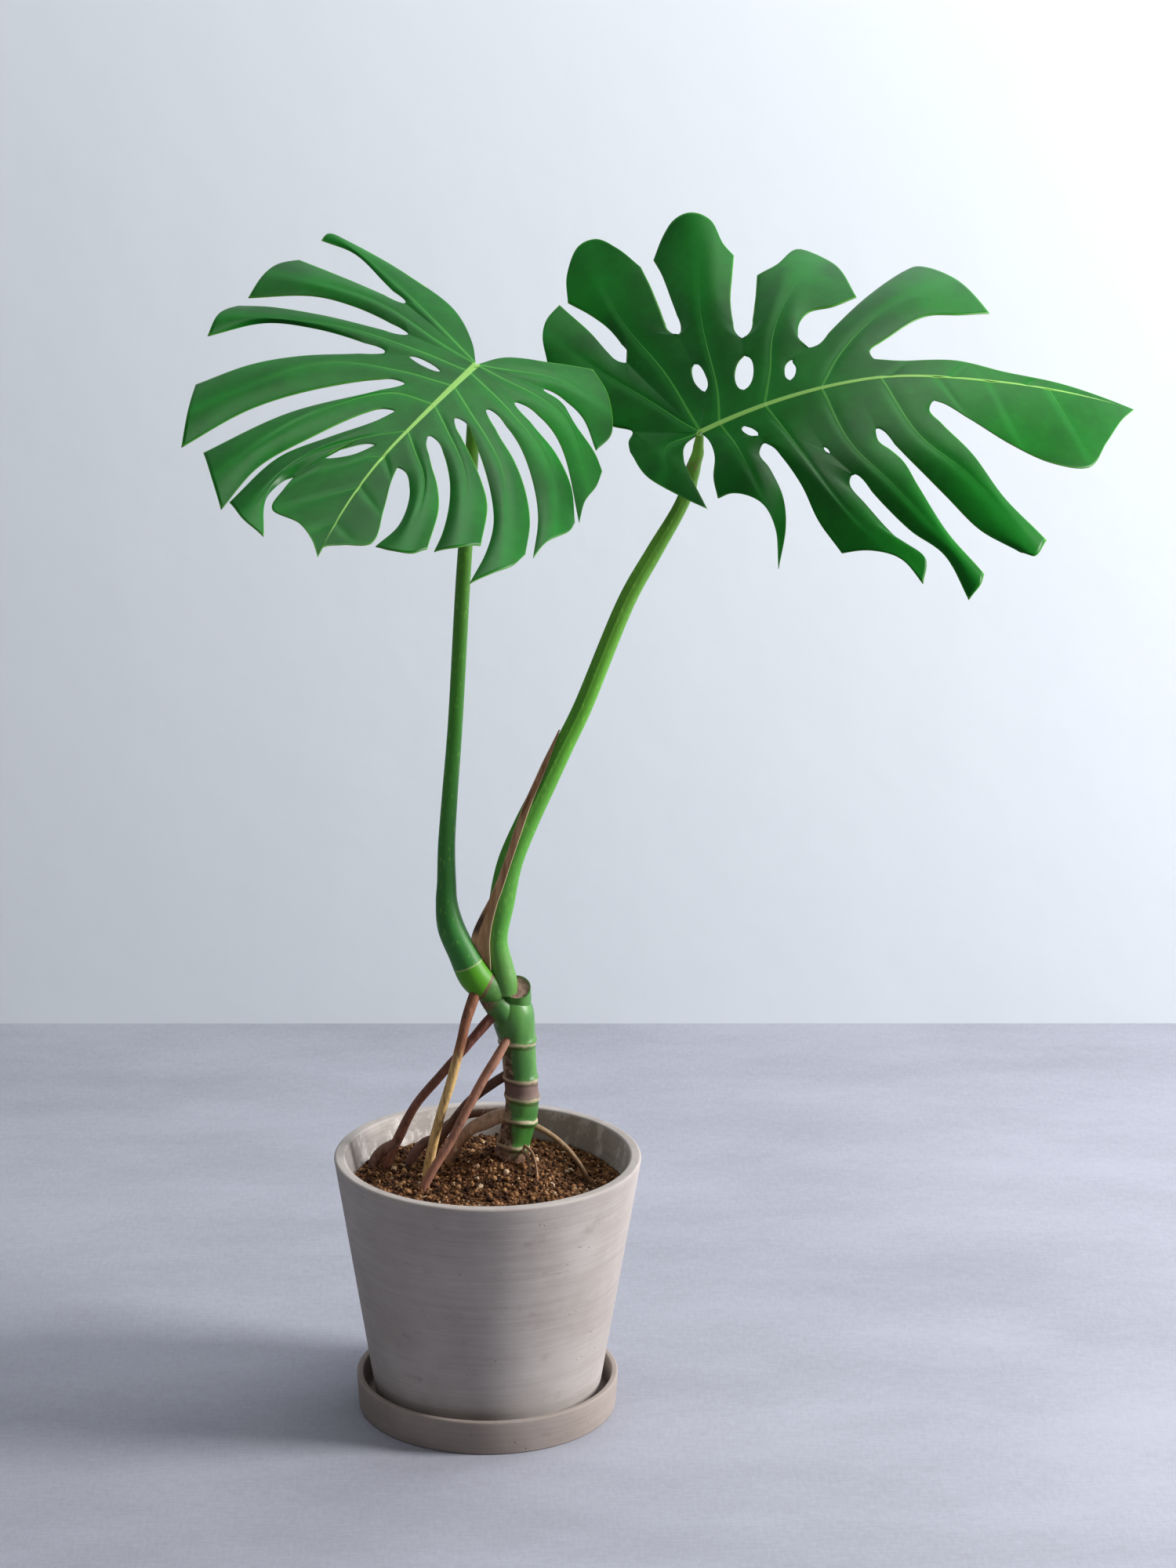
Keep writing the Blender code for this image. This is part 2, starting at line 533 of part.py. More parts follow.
U, L = 1, -1
right_lobes = [
    lobe(U, (0, 0), [(0, 0), (-14, -6), (-17, -24), (-13, -46), (-1, -91)], [(-22, -69), (-52, -28)],
         [(-60, 36), (-65, 28), (-64, 12)], [(-30, 0), (-34, -30)], 3),
    lobe(U, (0, 0), [(-60, 36), (-76, 50), (-102, 86), (-133, 153)], [(-136, 184), (-131, 206)],
         [(-59, 128), (-70, 139), (-91, 182), (-117, 226)], [(-39, 62), (-83, 122)]),
    lobe(U, (0, 0), [(-59, 128), (-59, 141), (-71, 174), (-90, 204), (-109, 226)],
         [(-108, 258), (-94, 290), (-78, 292), (-58, 272)],
         [(-9, 135), (-18, 150), (-24, 180), (-30, 211), (-37, 240)], [(-25, 92), (-65, 192)]),
    lobe(U, (0, 1), [(-9, 135), (-8, 150), (-13, 185), (-19, 220), (-25, 242)],
         [(-14, 264), (-3, 276), (13, 276), (31, 262), (41, 229)],
         [(47, 96), (42, 111), (41, 149), (46, 186), (50, 213)], [(19, 44), (12, 148)]),
    lobe(U, (1, 2), [(47, 96), (55, 106), (63, 141), (69, 181)], [(89, 195), (117, 231), (144, 205)],
         [(105, 58), (98, 72), (100, 95), (112, 112), (134, 116), (158, 130)], [(67, 39), (77, 96)]),
    lobe(U, (2, 3), [(105, 58), (114, 62), (135, 86), (171, 133), (209, 182)], [(226, 193), (254, 164)],
         [(162, 25), (161, 38), (181, 57), (219, 87), (251, 92), (281, 102)], [(133, 42), (182, 98)]),
    lobe(U, (3, 5), [(162, 25), (186, 19), (237, 18)], [(282, 9), (338, 10), (379, 11)], [(410, 13)], [], 0),
    lobe(L, (4, 5), [(210, -33), (219, -37), (242, -55), (276, -78), (312, -90), (350, -84)],
         [(372, -49), (394, -10)], [(410, 13)], [], 0),
    lobe(L, (3, 4), [(154, -59), (160, -66), (182, -98), (211, -134), (239, -163), (274, -179)], [(287, -183)],
         [(210, -33), (206, -44), (214, -60), (238, -91), (264, -132), (300, -165)], [(192, -73), (232, -115)]),
    lobe(L, (2, 3), [(129, -103), (136, -111), (155, -138), (176, -162), (204, -184), (223, -220)], [(234, -211)],
         [(154, -59), (156, -72), (175, -97), (186, -122), (209, -165), (239, -199)], [(129, -70), (164, -122)]),
    lobe(L, (1, 2), [(54, -45), (62, -55), (82, -99), (95, -139), (113, -171)], [(138, -176), (165, -187)],
         [(129, -103), (127, -114), (138, -133), (161, -164), (187, -186), (183, -206)], [(88, -74), (116, -132)]),
    lobe(L, (0, 1), [(0, 0), (7, -17), (10, -38), (7, -61), (9, -85)], [(21, -87), (46, -110), (57, -141)],
         [(54, -45), (51, -57), (58, -78), (66, -108), (66, -137), (57, -171)], [(26, -25), (38, -69)]),
]
right_holes = [
    (4.9, 68, 40.4, 10.8, -80), (44.6, 50.1, 42.5, 17.2, -95), (85.4, 33.5, 24, 10.5, -96),
    (42.7, -25.5, 21.7, 6.8, -44),
]
right_leaf = blade(
    "right_leaf", right_lobes, right_holes, right_midrib, right_stations, right_columns, right_height,
    (0.1961, 0.0, 0.9735), (0.999, 0.034, 0.037), (-0.011, -0.574, 0.819), blade_green,
)

for helper in list(cutter_set.objects):
    bpy.data.objects.remove(helper, do_unlink=True)
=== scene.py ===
# A potted monstera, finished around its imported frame: two split leaves on long stalks, a ringed stem with
# aerial roots, crumbly potting mix, a tapered mineral pot and its saucer. Metres, +Z up.
import math

import bmesh
import bpy
import numpy as np
from mathutils import Matrix, Vector


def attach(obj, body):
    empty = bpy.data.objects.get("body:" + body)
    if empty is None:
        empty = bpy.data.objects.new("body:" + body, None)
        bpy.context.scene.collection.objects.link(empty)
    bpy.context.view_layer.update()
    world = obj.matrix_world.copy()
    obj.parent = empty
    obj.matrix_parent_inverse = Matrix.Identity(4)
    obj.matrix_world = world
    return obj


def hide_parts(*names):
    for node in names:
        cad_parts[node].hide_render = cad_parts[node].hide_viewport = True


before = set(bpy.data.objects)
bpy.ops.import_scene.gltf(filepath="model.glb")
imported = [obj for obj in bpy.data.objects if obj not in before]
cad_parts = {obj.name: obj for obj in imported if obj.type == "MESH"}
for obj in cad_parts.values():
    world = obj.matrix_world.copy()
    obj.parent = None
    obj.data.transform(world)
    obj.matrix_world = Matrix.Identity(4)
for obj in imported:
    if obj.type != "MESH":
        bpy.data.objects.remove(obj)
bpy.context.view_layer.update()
print("frame loaded")

# the camera comes first, as everything is judged through it
view = dict(place=(0.0, -3.405, 1.543), pitch=14.93, yaw=1.594, roll=0.5, lens=85, filmHeight=36)


def setCamera(cfg):
    data = bpy.data.cameras.new("camera")
    data.lens = cfg["lens"]
    data.sensor_fit = "VERTICAL"
    data.sensor_height = cfg["filmHeight"]
    holder = bpy.data.objects.new("camera", data)
    tilt = Matrix.Rotation(math.radians(90 - cfg["pitch"]), 4, "X")
    turn = Matrix.Rotation(math.radians(-cfg["yaw"]), 4, "Z")
    roll = Matrix.Rotation(math.radians(cfg["roll"]), 4, "Z")
    holder.matrix_world = Matrix.Translation(cfg["place"]) @ turn @ tilt @ roll
    bpy.context.collection.objects.link(holder)
    bpy.context.scene.camera = holder


setCamera(view)


# one output of a shader node, so that sums and products can be written as plain expressions
class Wire:
    def __init__(self, paint, socket):
        self.paint = paint
        self.socket = socket

    def maths(self, kind, *others):
        return self.paint.node("Math", {"operation": kind}, dict(enumerate((self, *others))))

    def __add__(self, other):
        return self.maths("ADD", other)

    def __sub__(self, other):
        return self.maths("SUBTRACT", other)

    def __rsub__(self, other):
        return self.paint.node("Math", {"operation": "SUBTRACT"}, {0: other, 1: self})

    def __mul__(self, other):
        return self.maths("MULTIPLY", other)

    def __truediv__(self, other):
        return self.maths("DIVIDE", other)

    def __pow__(self, other):
        return self.maths("POWER", other)

    __radd__ = __add__
    __rmul__ = __mul__

    # 0 below low, 1 above high, smooth between
    def step(self, low, high):
        settings = {"interpolation_type": "SMOOTHSTEP"}
        return self.paint.node("MapRange", settings, {"Value": self, "From Min": low, "From Max": high})


# a material under construction
class Paint:
    def __init__(self, name):
        self.material = bpy.data.materials.new(name)
        self.material.use_nodes = True
        self.tree = self.material.node_tree
        self.shader = self.tree.nodes["Principled BSDF"]

    def node(self, kind, settings, inputs, out=0):
        made = self.tree.nodes.new("ShaderNode" + kind)
        for key, value in settings.items():
            if key == "stops":
                for element, (place, colour) in zip(self.stopsOf(made, len(value)), value):
                    element.position = place
                    element.color = (*colour, 1)
            else:
                setattr(made, key, value)
        for key, value in inputs.items():
            self.feed(made.inputs[key], value)
        return Wire(self, made.outputs[out])

    def stopsOf(self, ramp, count):
        stops = ramp.color_ramp.elements
        while len(stops) < count:
            stops.new(1.0)
        return stops

    def feed(self, socket, value):
        if isinstance(value, Wire):
            self.tree.links.new(value.socket, socket)
        elif isinstance(value, tuple) and len(value) == 3 and socket.type == "RGBA":
            socket.default_value = (*value, 1)
        else:
            socket.default_value = value

    def spot(self, scale=(1, 1, 1), shift=(0, 0, 0)):
        place = self.node("TexCoord", {}, {}, "Object")
        return self.node("Mapping", {}, {"Vector": place, "Scale": scale, "Location": shift})

    def noise(self, size, detail=3, rough=0.55, stretch=(1, 1, 1), shift=(0, 0, 0)):
        inputs = {"Vector": self.spot(stretch, shift), "Scale": size, "Detail": detail, "Roughness": rough}
        return self.node("TexNoise", {}, inputs)

    def cells(self, size, stretch=(1, 1, 1), out="Distance"):
        return self.node("TexVoronoi", {}, {"Vector": self.spot(stretch), "Scale": size}, out)

    # one coordinate of the place on the object, by its letter
    def axis(self, letter):
        return self.node("SeparateXYZ", {}, {"Vector": self.spot()}, letter)

    def along(self, name):
        return self.node("Attribute", {"attribute_name": name}, {}, "Fac")

    def mix(self, share, first, second):
        made = self.tree.nodes.new("ShaderNodeMix")
        made.data_type = "RGBA"
        self.feed(made.inputs[0], share)
        self.feed(made.inputs[6], first)
        self.feed(made.inputs[7], second)
        return Wire(self, made.outputs[2])

    def ramp(self, value, *stops):
        return self.node("ValToRGB", {"stops": stops}, {"Fac": value})

    def bump(self, height, depth, strength=1.0):
        return self.node("Bump", {}, {"Height": height, "Distance": depth, "Strength": strength})

    def finish(self, colour, roughness, normal=None, **fixed):
        self.feed(self.shader.inputs["Base Color"], colour)
        self.feed(self.shader.inputs["Roughness"], roughness)
        if normal is not None:
            self.feed(self.shader.inputs["Normal"], normal)
        for key, value in fixed.items():
            self.feed(self.shader.inputs[key.replace("_", " ")], value)
        return self.material


# 0 below low, 1 above high, smooth between
def eased(value, low, high):
    t = np.clip((value - low) / (high - low), 0.0, 1.0)
    return t * t * (3 - 2 * t)


# points at given shares of the length of a smooth cubic through a few points, its slopes by differences
def curveThrough(points, shares):
    knots = np.asarray(points, float)
    shares = np.asarray(shares, float)
    if len(knots) == 2:
        return knots[0] + (knots[1] - knots[0]) * shares[:, None]
    gaps = np.sqrt(np.linalg.norm(np.diff(knots, axis=0), axis=1)) + 1e-9
    at = np.concatenate([[0.0], np.cumsum(gaps)])
    slopes = np.gradient(knots, at, axis=0)
    fine = np.linspace(0.0, at[-1], 40 * (len(knots) - 1) + 1)
    part = np.clip(np.searchsorted(at, fine, "right") - 1, 0, len(knots) - 2)
    h = gaps[part][:, None]
    t = ((fine - at[part]) / gaps[part])[:, None]
    curve = (2 * t**3 - 3 * t**2 + 1) * knots[part] + (t**3 - 2 * t**2 + t) * h * slopes[part]
    curve += (3 * t**2 - 2 * t**3) * knots[part + 1] + (t**3 - t**2) * h * slopes[part + 1]
    run = np.concatenate([[0.0], np.cumsum(np.linalg.norm(np.diff(curve, axis=0), axis=1))])
    run /= run[-1]
    return np.stack([np.interp(shares, run, curve[:, c]) for c in range(curve.shape[1])], axis=1)


# quads of a grid of rows by cols points, wrapped round across the columns if asked
def gridQuads(rows, cols, wrap=False, flip=False):
    j, i = np.meshgrid(np.arange(rows - 1), np.arange(cols if wrap else cols - 1), indexing="ij")
    across = (i + 1) % cols
    ring = [j * cols + i, j * cols + across, (j + 1) * cols + across, (j + 1) * cols + i]
    return np.stack(ring[::-1] if flip else ring, axis=-1).reshape(-1, 4)


# a piece from points in metres and faces, with a number stored at each point under each given name
def newPiece(name, points, faces, looks, nodes=(), marks=None, sharp=None):
    mesh = bpy.data.meshes.new(name)
    mesh.from_pydata(points.tolist(), [], [list(map(int, face)) for face in faces])
    for label, values in (marks or {}).items():
        mesh.attributes.new(label, "FLOAT", "POINT").data.foreach_set("value", np.ravel(values))
    for look in looks:
        mesh.materials.append(look)
    mesh.polygons.foreach_set("use_smooth", np.ones(len(mesh.polygons), bool))
    if sharp is not None:
        mesh.set_sharp_from_angle(angle=math.radians(sharp))
    piece = bpy.data.objects.new(name, mesh)
    bpy.context.collection.objects.link(piece)
    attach(piece, "root")
    if nodes:
        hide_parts(*nodes)
    return piece


# repeatable smooth noise in 0 to 1: a few sine waves of random direction added up
def waves(points, size, seed, count=9):
    draw = np.random.default_rng(seed)
    pull = draw.normal(size=(count, points.shape[-1])) * size
    start = draw.uniform(0, 2 * math.pi, count)
    return 0.5 + 0.5 * np.sin(points @ pull.T + start).sum(-1) / count**0.5 / 1.6


# ring of points round a path of (x, y, z, radius) in millimetres; turn 0 faces the viewer's side (-Y)
# point = centre + radius * swell(turn, run) * (cos(turn) * front + sin(turn) * side)
def tubeGrid(path, rows, sides, swell=None):
    line = curveThrough(path, np.linspace(0, 1, rows)) / 1000
    centre, radius = line[:, :3], line[:, 3]
    ahead = np.gradient(centre, axis=0)
    ahead /= np.linalg.norm(ahead, axis=1)[:, None]
    side = np.cross(ahead, [0.0, -1.0, 0.0])
    side /= np.linalg.norm(side, axis=1)[:, None]
    front = np.cross(side, ahead)
    run = np.concatenate([[0], np.cumsum(np.linalg.norm(np.diff(centre, axis=0), axis=1))])
    turn = np.linspace(0, 2 * math.pi, sides, endpoint=False)
    turns, runs = np.broadcast_to(turn, (rows, sides)), np.broadcast_to(run[:, None], (rows, sides))
    reach = radius[:, None] * (np.ones((rows, sides)) if swell is None else swell(turns, runs, centre))
    ring = np.cos(turns)[..., None] * front[:, None] + np.sin(turns)[..., None] * side[:, None]
    return centre[:, None] + reach[..., None] * ring, turns, runs, centre


# a closed tube: the grid above with a point closing each end
def tubePiece(name, path, rows, sides, looks, nodes=(), swell=None):
    grid, turns, runs, centre = tubeGrid(path, rows, sides, swell)
    points = np.concatenate([grid.reshape(-1, 3), grid[0].mean(0)[None], grid[-1].mean(0)[None]])
    first, last = rows * sides, rows * sides + 1
    near = [(first, (i + 1) % sides, i) for i in range(sides)]
    far = [(last, first - sides + i, first - sides + (i + 1) % sides) for i in range(sides)]
    faces = gridQuads(rows, sides, wrap=True).tolist() + near + far
    level = lambda values: np.append(values.ravel(), [values.ravel()[0], values.ravel()[-1]])
    marks = {"turn": level(turns / (2 * math.pi)), "run": level(runs)}
    return newPiece(name, points, faces, looks, nodes, marks, sharp=50)


# floor, wall and lights
stage = dict(
    floorSize=9.0, wallPlace=1.17, wallHeight=5.0,
    floorColours=((0.262, 0.268, 0.318), (0.352, 0.360, 0.425)),
    wallColours=((0.590, 0.640, 0.690), (0.640, 0.678, 0.718)),
    keyPlace=(3.2, -0.35, 1.75), keySize=(0.9, 1.4), keyPower=195, keyColour=(1.0, 0.985, 0.965),
    topPlace=(0.5, 0.5, 3.4), topSize=(1.6, 0.8), topPower=13,
    wallPower=36, fillPlace=(-2.6, -2.0, 1.8), fillPower=3, sky=(0.97, 0.98, 1.0), skyPower=0.20,
)


def floorLook(cfg):
    paint = Paint("floor_cloth")
    cloud = paint.noise(2.2, 5, 0.6, (1, 2.2, 1))
    weave = paint.noise(260, 2, 0.6, (0.25, 1, 1)) * 0.25 + paint.noise(260, 2, 0.6, (1, 0.25, 1)) * 0.25
    share = (cloud * 0.75 + weave).step(0.35, 0.85)
    return paint.finish(paint.mix(share, *cfg["floorColours"]), 0.85, paint.bump(weave, 0.001, 0.4))


def wallLook(cfg):
    paint = Paint("wall_plaster")
    cloud = paint.noise(0.8, 4, 0.5)
    dents = paint.noise(7, 4, 0.6)
    # seen through from behind, so that the plant can be looked at from there
    front = 1 - paint.node("NewGeometry", {}, {}, "Backfacing")
    colour = paint.mix(cloud, *cfg["wallColours"])
    return paint.finish(colour, 0.9, paint.bump(dents, 0.004, 0.35), Alpha=front)


def sheetOf(name, points, look):
    mesh = bpy.data.meshes.new(name)
    mesh.from_pydata(points, [], [(0, 1, 2, 3)])
    mesh.materials.append(look)
    sheet = bpy.data.objects.new(name, mesh)
    bpy.context.collection.objects.link(sheet)


def areaLight(name, place, aim, size, power, colour=(1, 1, 1)):
    lamp = bpy.data.lights.new(name, "AREA")
    lamp.shape = "RECTANGLE"
    lamp.size, lamp.size_y = size
    lamp.energy = power
    lamp.color = colour
    holder = bpy.data.objects.new(name, lamp)
    holder.location = place
    holder.rotation_euler = (Vector(aim) - Vector(place)).to_track_quat("-Z", "Y").to_euler()
    bpy.context.collection.objects.link(holder)


def setStage(cfg):
    half, foot, top = cfg["floorSize"], cfg["wallPlace"], cfg["wallHeight"]
    sheetOf("floor", [(-half, -half, 0), (half, -half, 0), (half, half, 0), (-half, half, 0)], floorLook(cfg))
    sheetOf("wall", [(-half, foot, 0), (half, foot, 0), (half, foot, top), (-half, foot, top)], wallLook(cfg))
    areaLight("window", cfg["keyPlace"], (0.0, 0.0, 0.55), cfg["keySize"], cfg["keyPower"], cfg["keyColour"])
    areaLight("top", cfg["topPlace"], (0.1, 0.0, 0.9), cfg["topSize"], cfg["topPower"])
    areaLight("wash", (0.6, 0.1, 3.0), (0.0, foot, 1.0), (3.2, 0.5), cfg["wallPower"])
    areaLight("fill", cfg["fillPlace"], (0.0, 0.0, 0.6), (2.0, 2.0), cfg["fillPower"])
    world = bpy.data.worlds.new("sky")
    world.use_nodes = True
    world.node_tree.nodes["Background"].inputs[0].default_value = (*cfg["sky"], 1)
    world.node_tree.nodes["Background"].inputs[1].default_value = cfg["skyPower"]
    bpy.context.scene.world = world
    bpy.context.scene.view_settings.view_transform = "Standard"


setStage(stage)
print("stage set")


# pot and saucer
potShape = dict(
    rim=0.150, height=0.261, taper=0.159, wall=0.011, floor=0.012, foot=0.0053, drain=0.009, lip=0.0025,
    steps=192, chalkShare=0.75, dark=(0.330, 0.290, 0.272), pale=(0.470, 0.432, 0.415),
    chalk=(0.70, 0.67, 0.64), stain=(0.215, 0.180, 0.165),
)
saucerShape = dict(
    rim=0.1294, height=0.0346, wall=0.0065, floor=0.005, foot=0.1275, lip=0.0018,
    steps=192, chalkShare=0.0, dark=(0.245, 0.200, 0.178), pale=(0.350, 0.300, 0.275),
    chalk=(0.45, 0.41, 0.38), stain=(0.160, 0.128, 0.112),
)


# points on an arc of a (radius, height) outline, angles in degrees
def arc(radius, height, size, start, end, count=7):
    turns = np.radians(np.linspace(start, end, count))
    return np.stack([radius + size * np.cos(turns), height + size * np.sin(turns)], axis=1)


# points along straight runs between the given corners, every few millimetres
def runs(*corners, pitch=0.006):
    rows = []
    for a, b in zip(corners, corners[1:]):
        rows.append(np.linspace(a, b, max(2, int(math.dist(a, b) / pitch)))[:-1])
    return np.concatenate(rows + [[corners[-1]]])


# a closed outline carried round the Z axis: point = (radius * cos(turn), radius * sin(turn), height)
def turnedPiece(name, outline, steps, look, node):
    keep = np.concatenate([[True], np.linalg.norm(np.diff(outline, axis=0), axis=1) > 1e-6])
    outline = outline[keep]
    turn = np.linspace(0, 2 * math.pi, steps, endpoint=False)
    radius, height = outline[:, :1], outline[:, 1:]
    points = np.stack([radius * np.cos(turn), radius * np.sin(turn), height + 0 * turn], axis=-1)
    faces = gridQuads(len(outline), steps, wrap=True)
    piece = newPiece(name, points.reshape(-1, 3), faces, [look], [node])
    shape = bmesh.new()
    shape.from_mesh(piece.data)
    bmesh.ops.remove_doubles(shape, verts=shape.verts, dist=1e-6)
    bmesh.ops.holes_fill(shape, edges=shape.edges)
    bmesh.ops.recalc_face_normals(shape, faces=shape.faces)
    shape.to_mesh(piece.data)
    shape.free()
    piece.data.set_sharp_from_angle(angle=math.radians(40))
    return piece


def mineralLook(name, cfg):
    paint = Paint(name)
    streaks = paint.noise(9, 6, 0.7, (0.6, 0.6, 22))
    fine = paint.noise(24, 4, 0.7, (0.8, 0.8, 34), (3, 1, 0))
    cloud = paint.noise(11, 5, 0.6)
    grain = paint.noise(900, 2, 0.5)
    share = streaks * 0.30 + fine * 0.25 + cloud * 0.55
    body = paint.mix(share.step(0.36, 0.76), cfg["dark"], cfg["pale"])
    blotch = paint.noise(26, 5, 0.65, (1, 1, 1.6), (5, 2, 1)).step(0.58, 0.74) * 0.35
    body = paint.mix(blotch, body, cfg["stain"])
    pits = 1 - paint.cells(170).step(0.10, 0.22)
    rare = paint.noise(45, 2, 0.5, (1, 1, 1), (9, 0, 0)).step(0.60, 0.66)
    body = paint.mix(pits * rare * 0.7, body, cfg["stain"])
    # chalky marks on the inner wall, where the surface faces the axis
    inside = paint.node("NewGeometry", {}, {}, "Normal")
    place = paint.spot()
    outward = paint.node("VectorMath", {"operation": "DOT_PRODUCT"}, {0: inside, 1: place}, "Value")
    scratch = paint.noise(30, 5, 0.75, (1.4, 1.4, 0.8), (2, 7, 0)).step(0.50, 0.62)
    chalk = (1 - outward.step(-0.06, -0.01)) * scratch * cfg["chalkShare"]
    body = paint.mix(chalk, body, cfg["chalk"])
    height = fine * 0.30 + grain * 0.35 + streaks * 0.10 - pits * rare * 1.2
    normal = paint.bump(height, 0.0005, 0.40)
    return paint.finish(body, 0.62 + cloud * 0.25, normal, Specular_IOR_Level=0.35)


def makePot(cfg):
    outer = lambda z: cfg["rim"] - cfg["taper"] * (cfg["height"] - z)
    lip, top, foot = cfg["lip"], cfg["height"], cfg["foot"]
    mouth = cfg["rim"] - cfg["wall"]
    inner = foot + cfg["floor"]
    outline = np.concatenate([
        arc(cfg["rim"] - lip, top - lip, lip, 90, 0),
        runs((cfg["rim"], top - lip), (outer(foot + 0.003), foot + 0.003)),
        arc(outer(foot) - 0.0027, foot + 0.0028, 0.0028, 0, -90),
        runs((outer(foot) - 0.004, foot), (cfg["drain"], foot)),
        runs((cfg["drain"], foot + 0.0002), (cfg["drain"], inner)),
        runs((cfg["drain"] + 0.0002, inner), (outer(inner) - cfg["wall"] - 0.006, inner)),
        runs((outer(inner + 0.006) - cfg["wall"], inner + 0.006), (mouth - 0.0002, top - lip)),
        arc(mouth + lip, top - lip, lip, 180, 90),
        [(cfg["rim"] - lip - 0.0004, top)],
    ])
    look = mineralLook("pot_mineral", cfg)
    turnedPiece("pot_shell", np.vstack([outline, outline[:1]]), cfg["steps"], look, "pot")


def makeSaucer(cfg):
    lip, top = cfg["lip"], cfg["height"]
    inner = cfg["rim"] - cfg["wall"]
    outline = np.concatenate([
        [(0.0, cfg["floor"])],
        runs((0.02, cfg["floor"]), (inner - 0.007, cfg["floor"])),
        arc(inner - 0.0065, cfg["floor"] + 0.0045, 0.0045, -90, 0),
        runs((inner - 0.0018, cfg["floor"] + 0.006), (inner, top - lip)),
        arc(inner + lip, top - lip, lip, 180, 90),
        arc(cfg["rim"] - lip, top - lip, lip, 90, 0),
        runs((cfg["rim"], top - lip), (cfg["foot"], 0.002)),
        arc(cfg["foot"] - 0.002, 0.002, 0.002, 0, -90),
        [(0.02, 0.0), (0.0, 0.0)],
    ])
    look = mineralLook("saucer_mineral", cfg)
    turnedPiece("saucer_dish", outline, cfg["steps"], look, "saucer")


makePot(potShape)
makeSaucer(saucerShape)
print("pot and saucer turned")


# potting mix: an uneven crumbly bed, with loose crumbs and pale grains lying on it (metres)
soilShape = dict(
    level=0.234, floor=0.0178, gap=0.0006, rings=150, steps=300,
    crumbs=9000, crumbSizes=(0.0005, 0.0036), crumbSeed=7,
    grains=170, grainSizes=(0.0010, 0.0036), grainSeed=21,
    dark=(0.016, 0.006, 0.003), body=(0.100, 0.042, 0.018), warm=(0.270, 0.130, 0.055),
    light=(0.38, 0.21, 0.10), pale=(0.58, 0.44, 0.30),
)


def soilHeight(x, y):
    heap = 0.018 * np.exp(-((x - 0.018) ** 2 + (y - 0.025) ** 2) / (2 * 0.038**2))
    hollow = -0.020 * np.exp(-((x - 0.088) ** 2 + (y - 0.045) ** 2) / (2 * 0.034**2))
    swell = 0.0025 * np.sin(38 * x + 1.0) * np.cos(33 * y) + 0.0015 * np.sin(71 * y - 47 * x)
    return heap + hollow + swell


# height of the bed: the level, the heap eased down to the wall, and crumbs as noise of three sizes
def bedHeight(cfg, points):
    x, y = points[..., 0], points[..., 1]
    wide = insideRadius(cfg, cfg["level"])
    edge = eased(np.hypot(x, y), 0.8 * wide, wide)
    base = cfg["level"] + soilHeight(x, y) * (1 - 0.8 * edge) - 0.004 * edge
    flat = points[..., :2]
    lumps = 0.0018 * waves(flat, 700, 11, 14) + 0.0016 * waves(flat, 1500, 12, 16) ** 2
    lumps = lumps + 0.0012 * waves(flat, 3200, 13, 18) ** 2
    return base + (lumps - 0.0022) * (1 - 0.5 * edge)


def insideRadius(cfg, z):
    return potShape["rim"] - potShape["taper"] * (potShape["height"] - z) - potShape["wall"] - cfg["gap"]


def soilLook(cfg):
    paint = Paint("potting_mix")
    crumbs = paint.cells(430, out="Color")
    tone = paint.node("SeparateColor", {}, {"Color": crumbs}, "Red")
    cloud = paint.noise(34, 4, 0.6)
    share = tone * 0.7 + cloud * 0.5 - 0.1
    body = paint.ramp(share, (0.0, cfg["dark"]), (0.45, cfg["body"]), (0.95, cfg["warm"]))
    pits = paint.cells(430)
    return paint.finish(body, 0.95, paint.bump(pits, 0.0012, 0.8), Specular_IOR_Level=0.2)


def crumbLook(cfg):
    paint = Paint("loose_crumbs")
    tone = paint.along("tone") + paint.noise(500, 2, 0.5) * 0.2 - 0.1
    stops = [(0.0, cfg["dark"]), (0.5, cfg["body"]), (0.85, cfg["warm"]), (1.0, cfg["light"])]
    body = paint.ramp(tone, *stops)
    return paint.finish(body, 0.95, paint.bump(paint.noise(1500, 2), 0.0006, 0.6), Specular_IOR_Level=0.2)


def grainLook(cfg):
    paint = Paint("pale_grains")
    tone = paint.along("tone") + paint.noise(700, 2, 0.5) * 0.4 - 0.2
    body = paint.mix(tone, (0.36, 0.22, 0.12), cfg["pale"])
    return paint.finish(body, 0.8, paint.bump(paint.noise(1200, 2), 0.0005, 0.6))


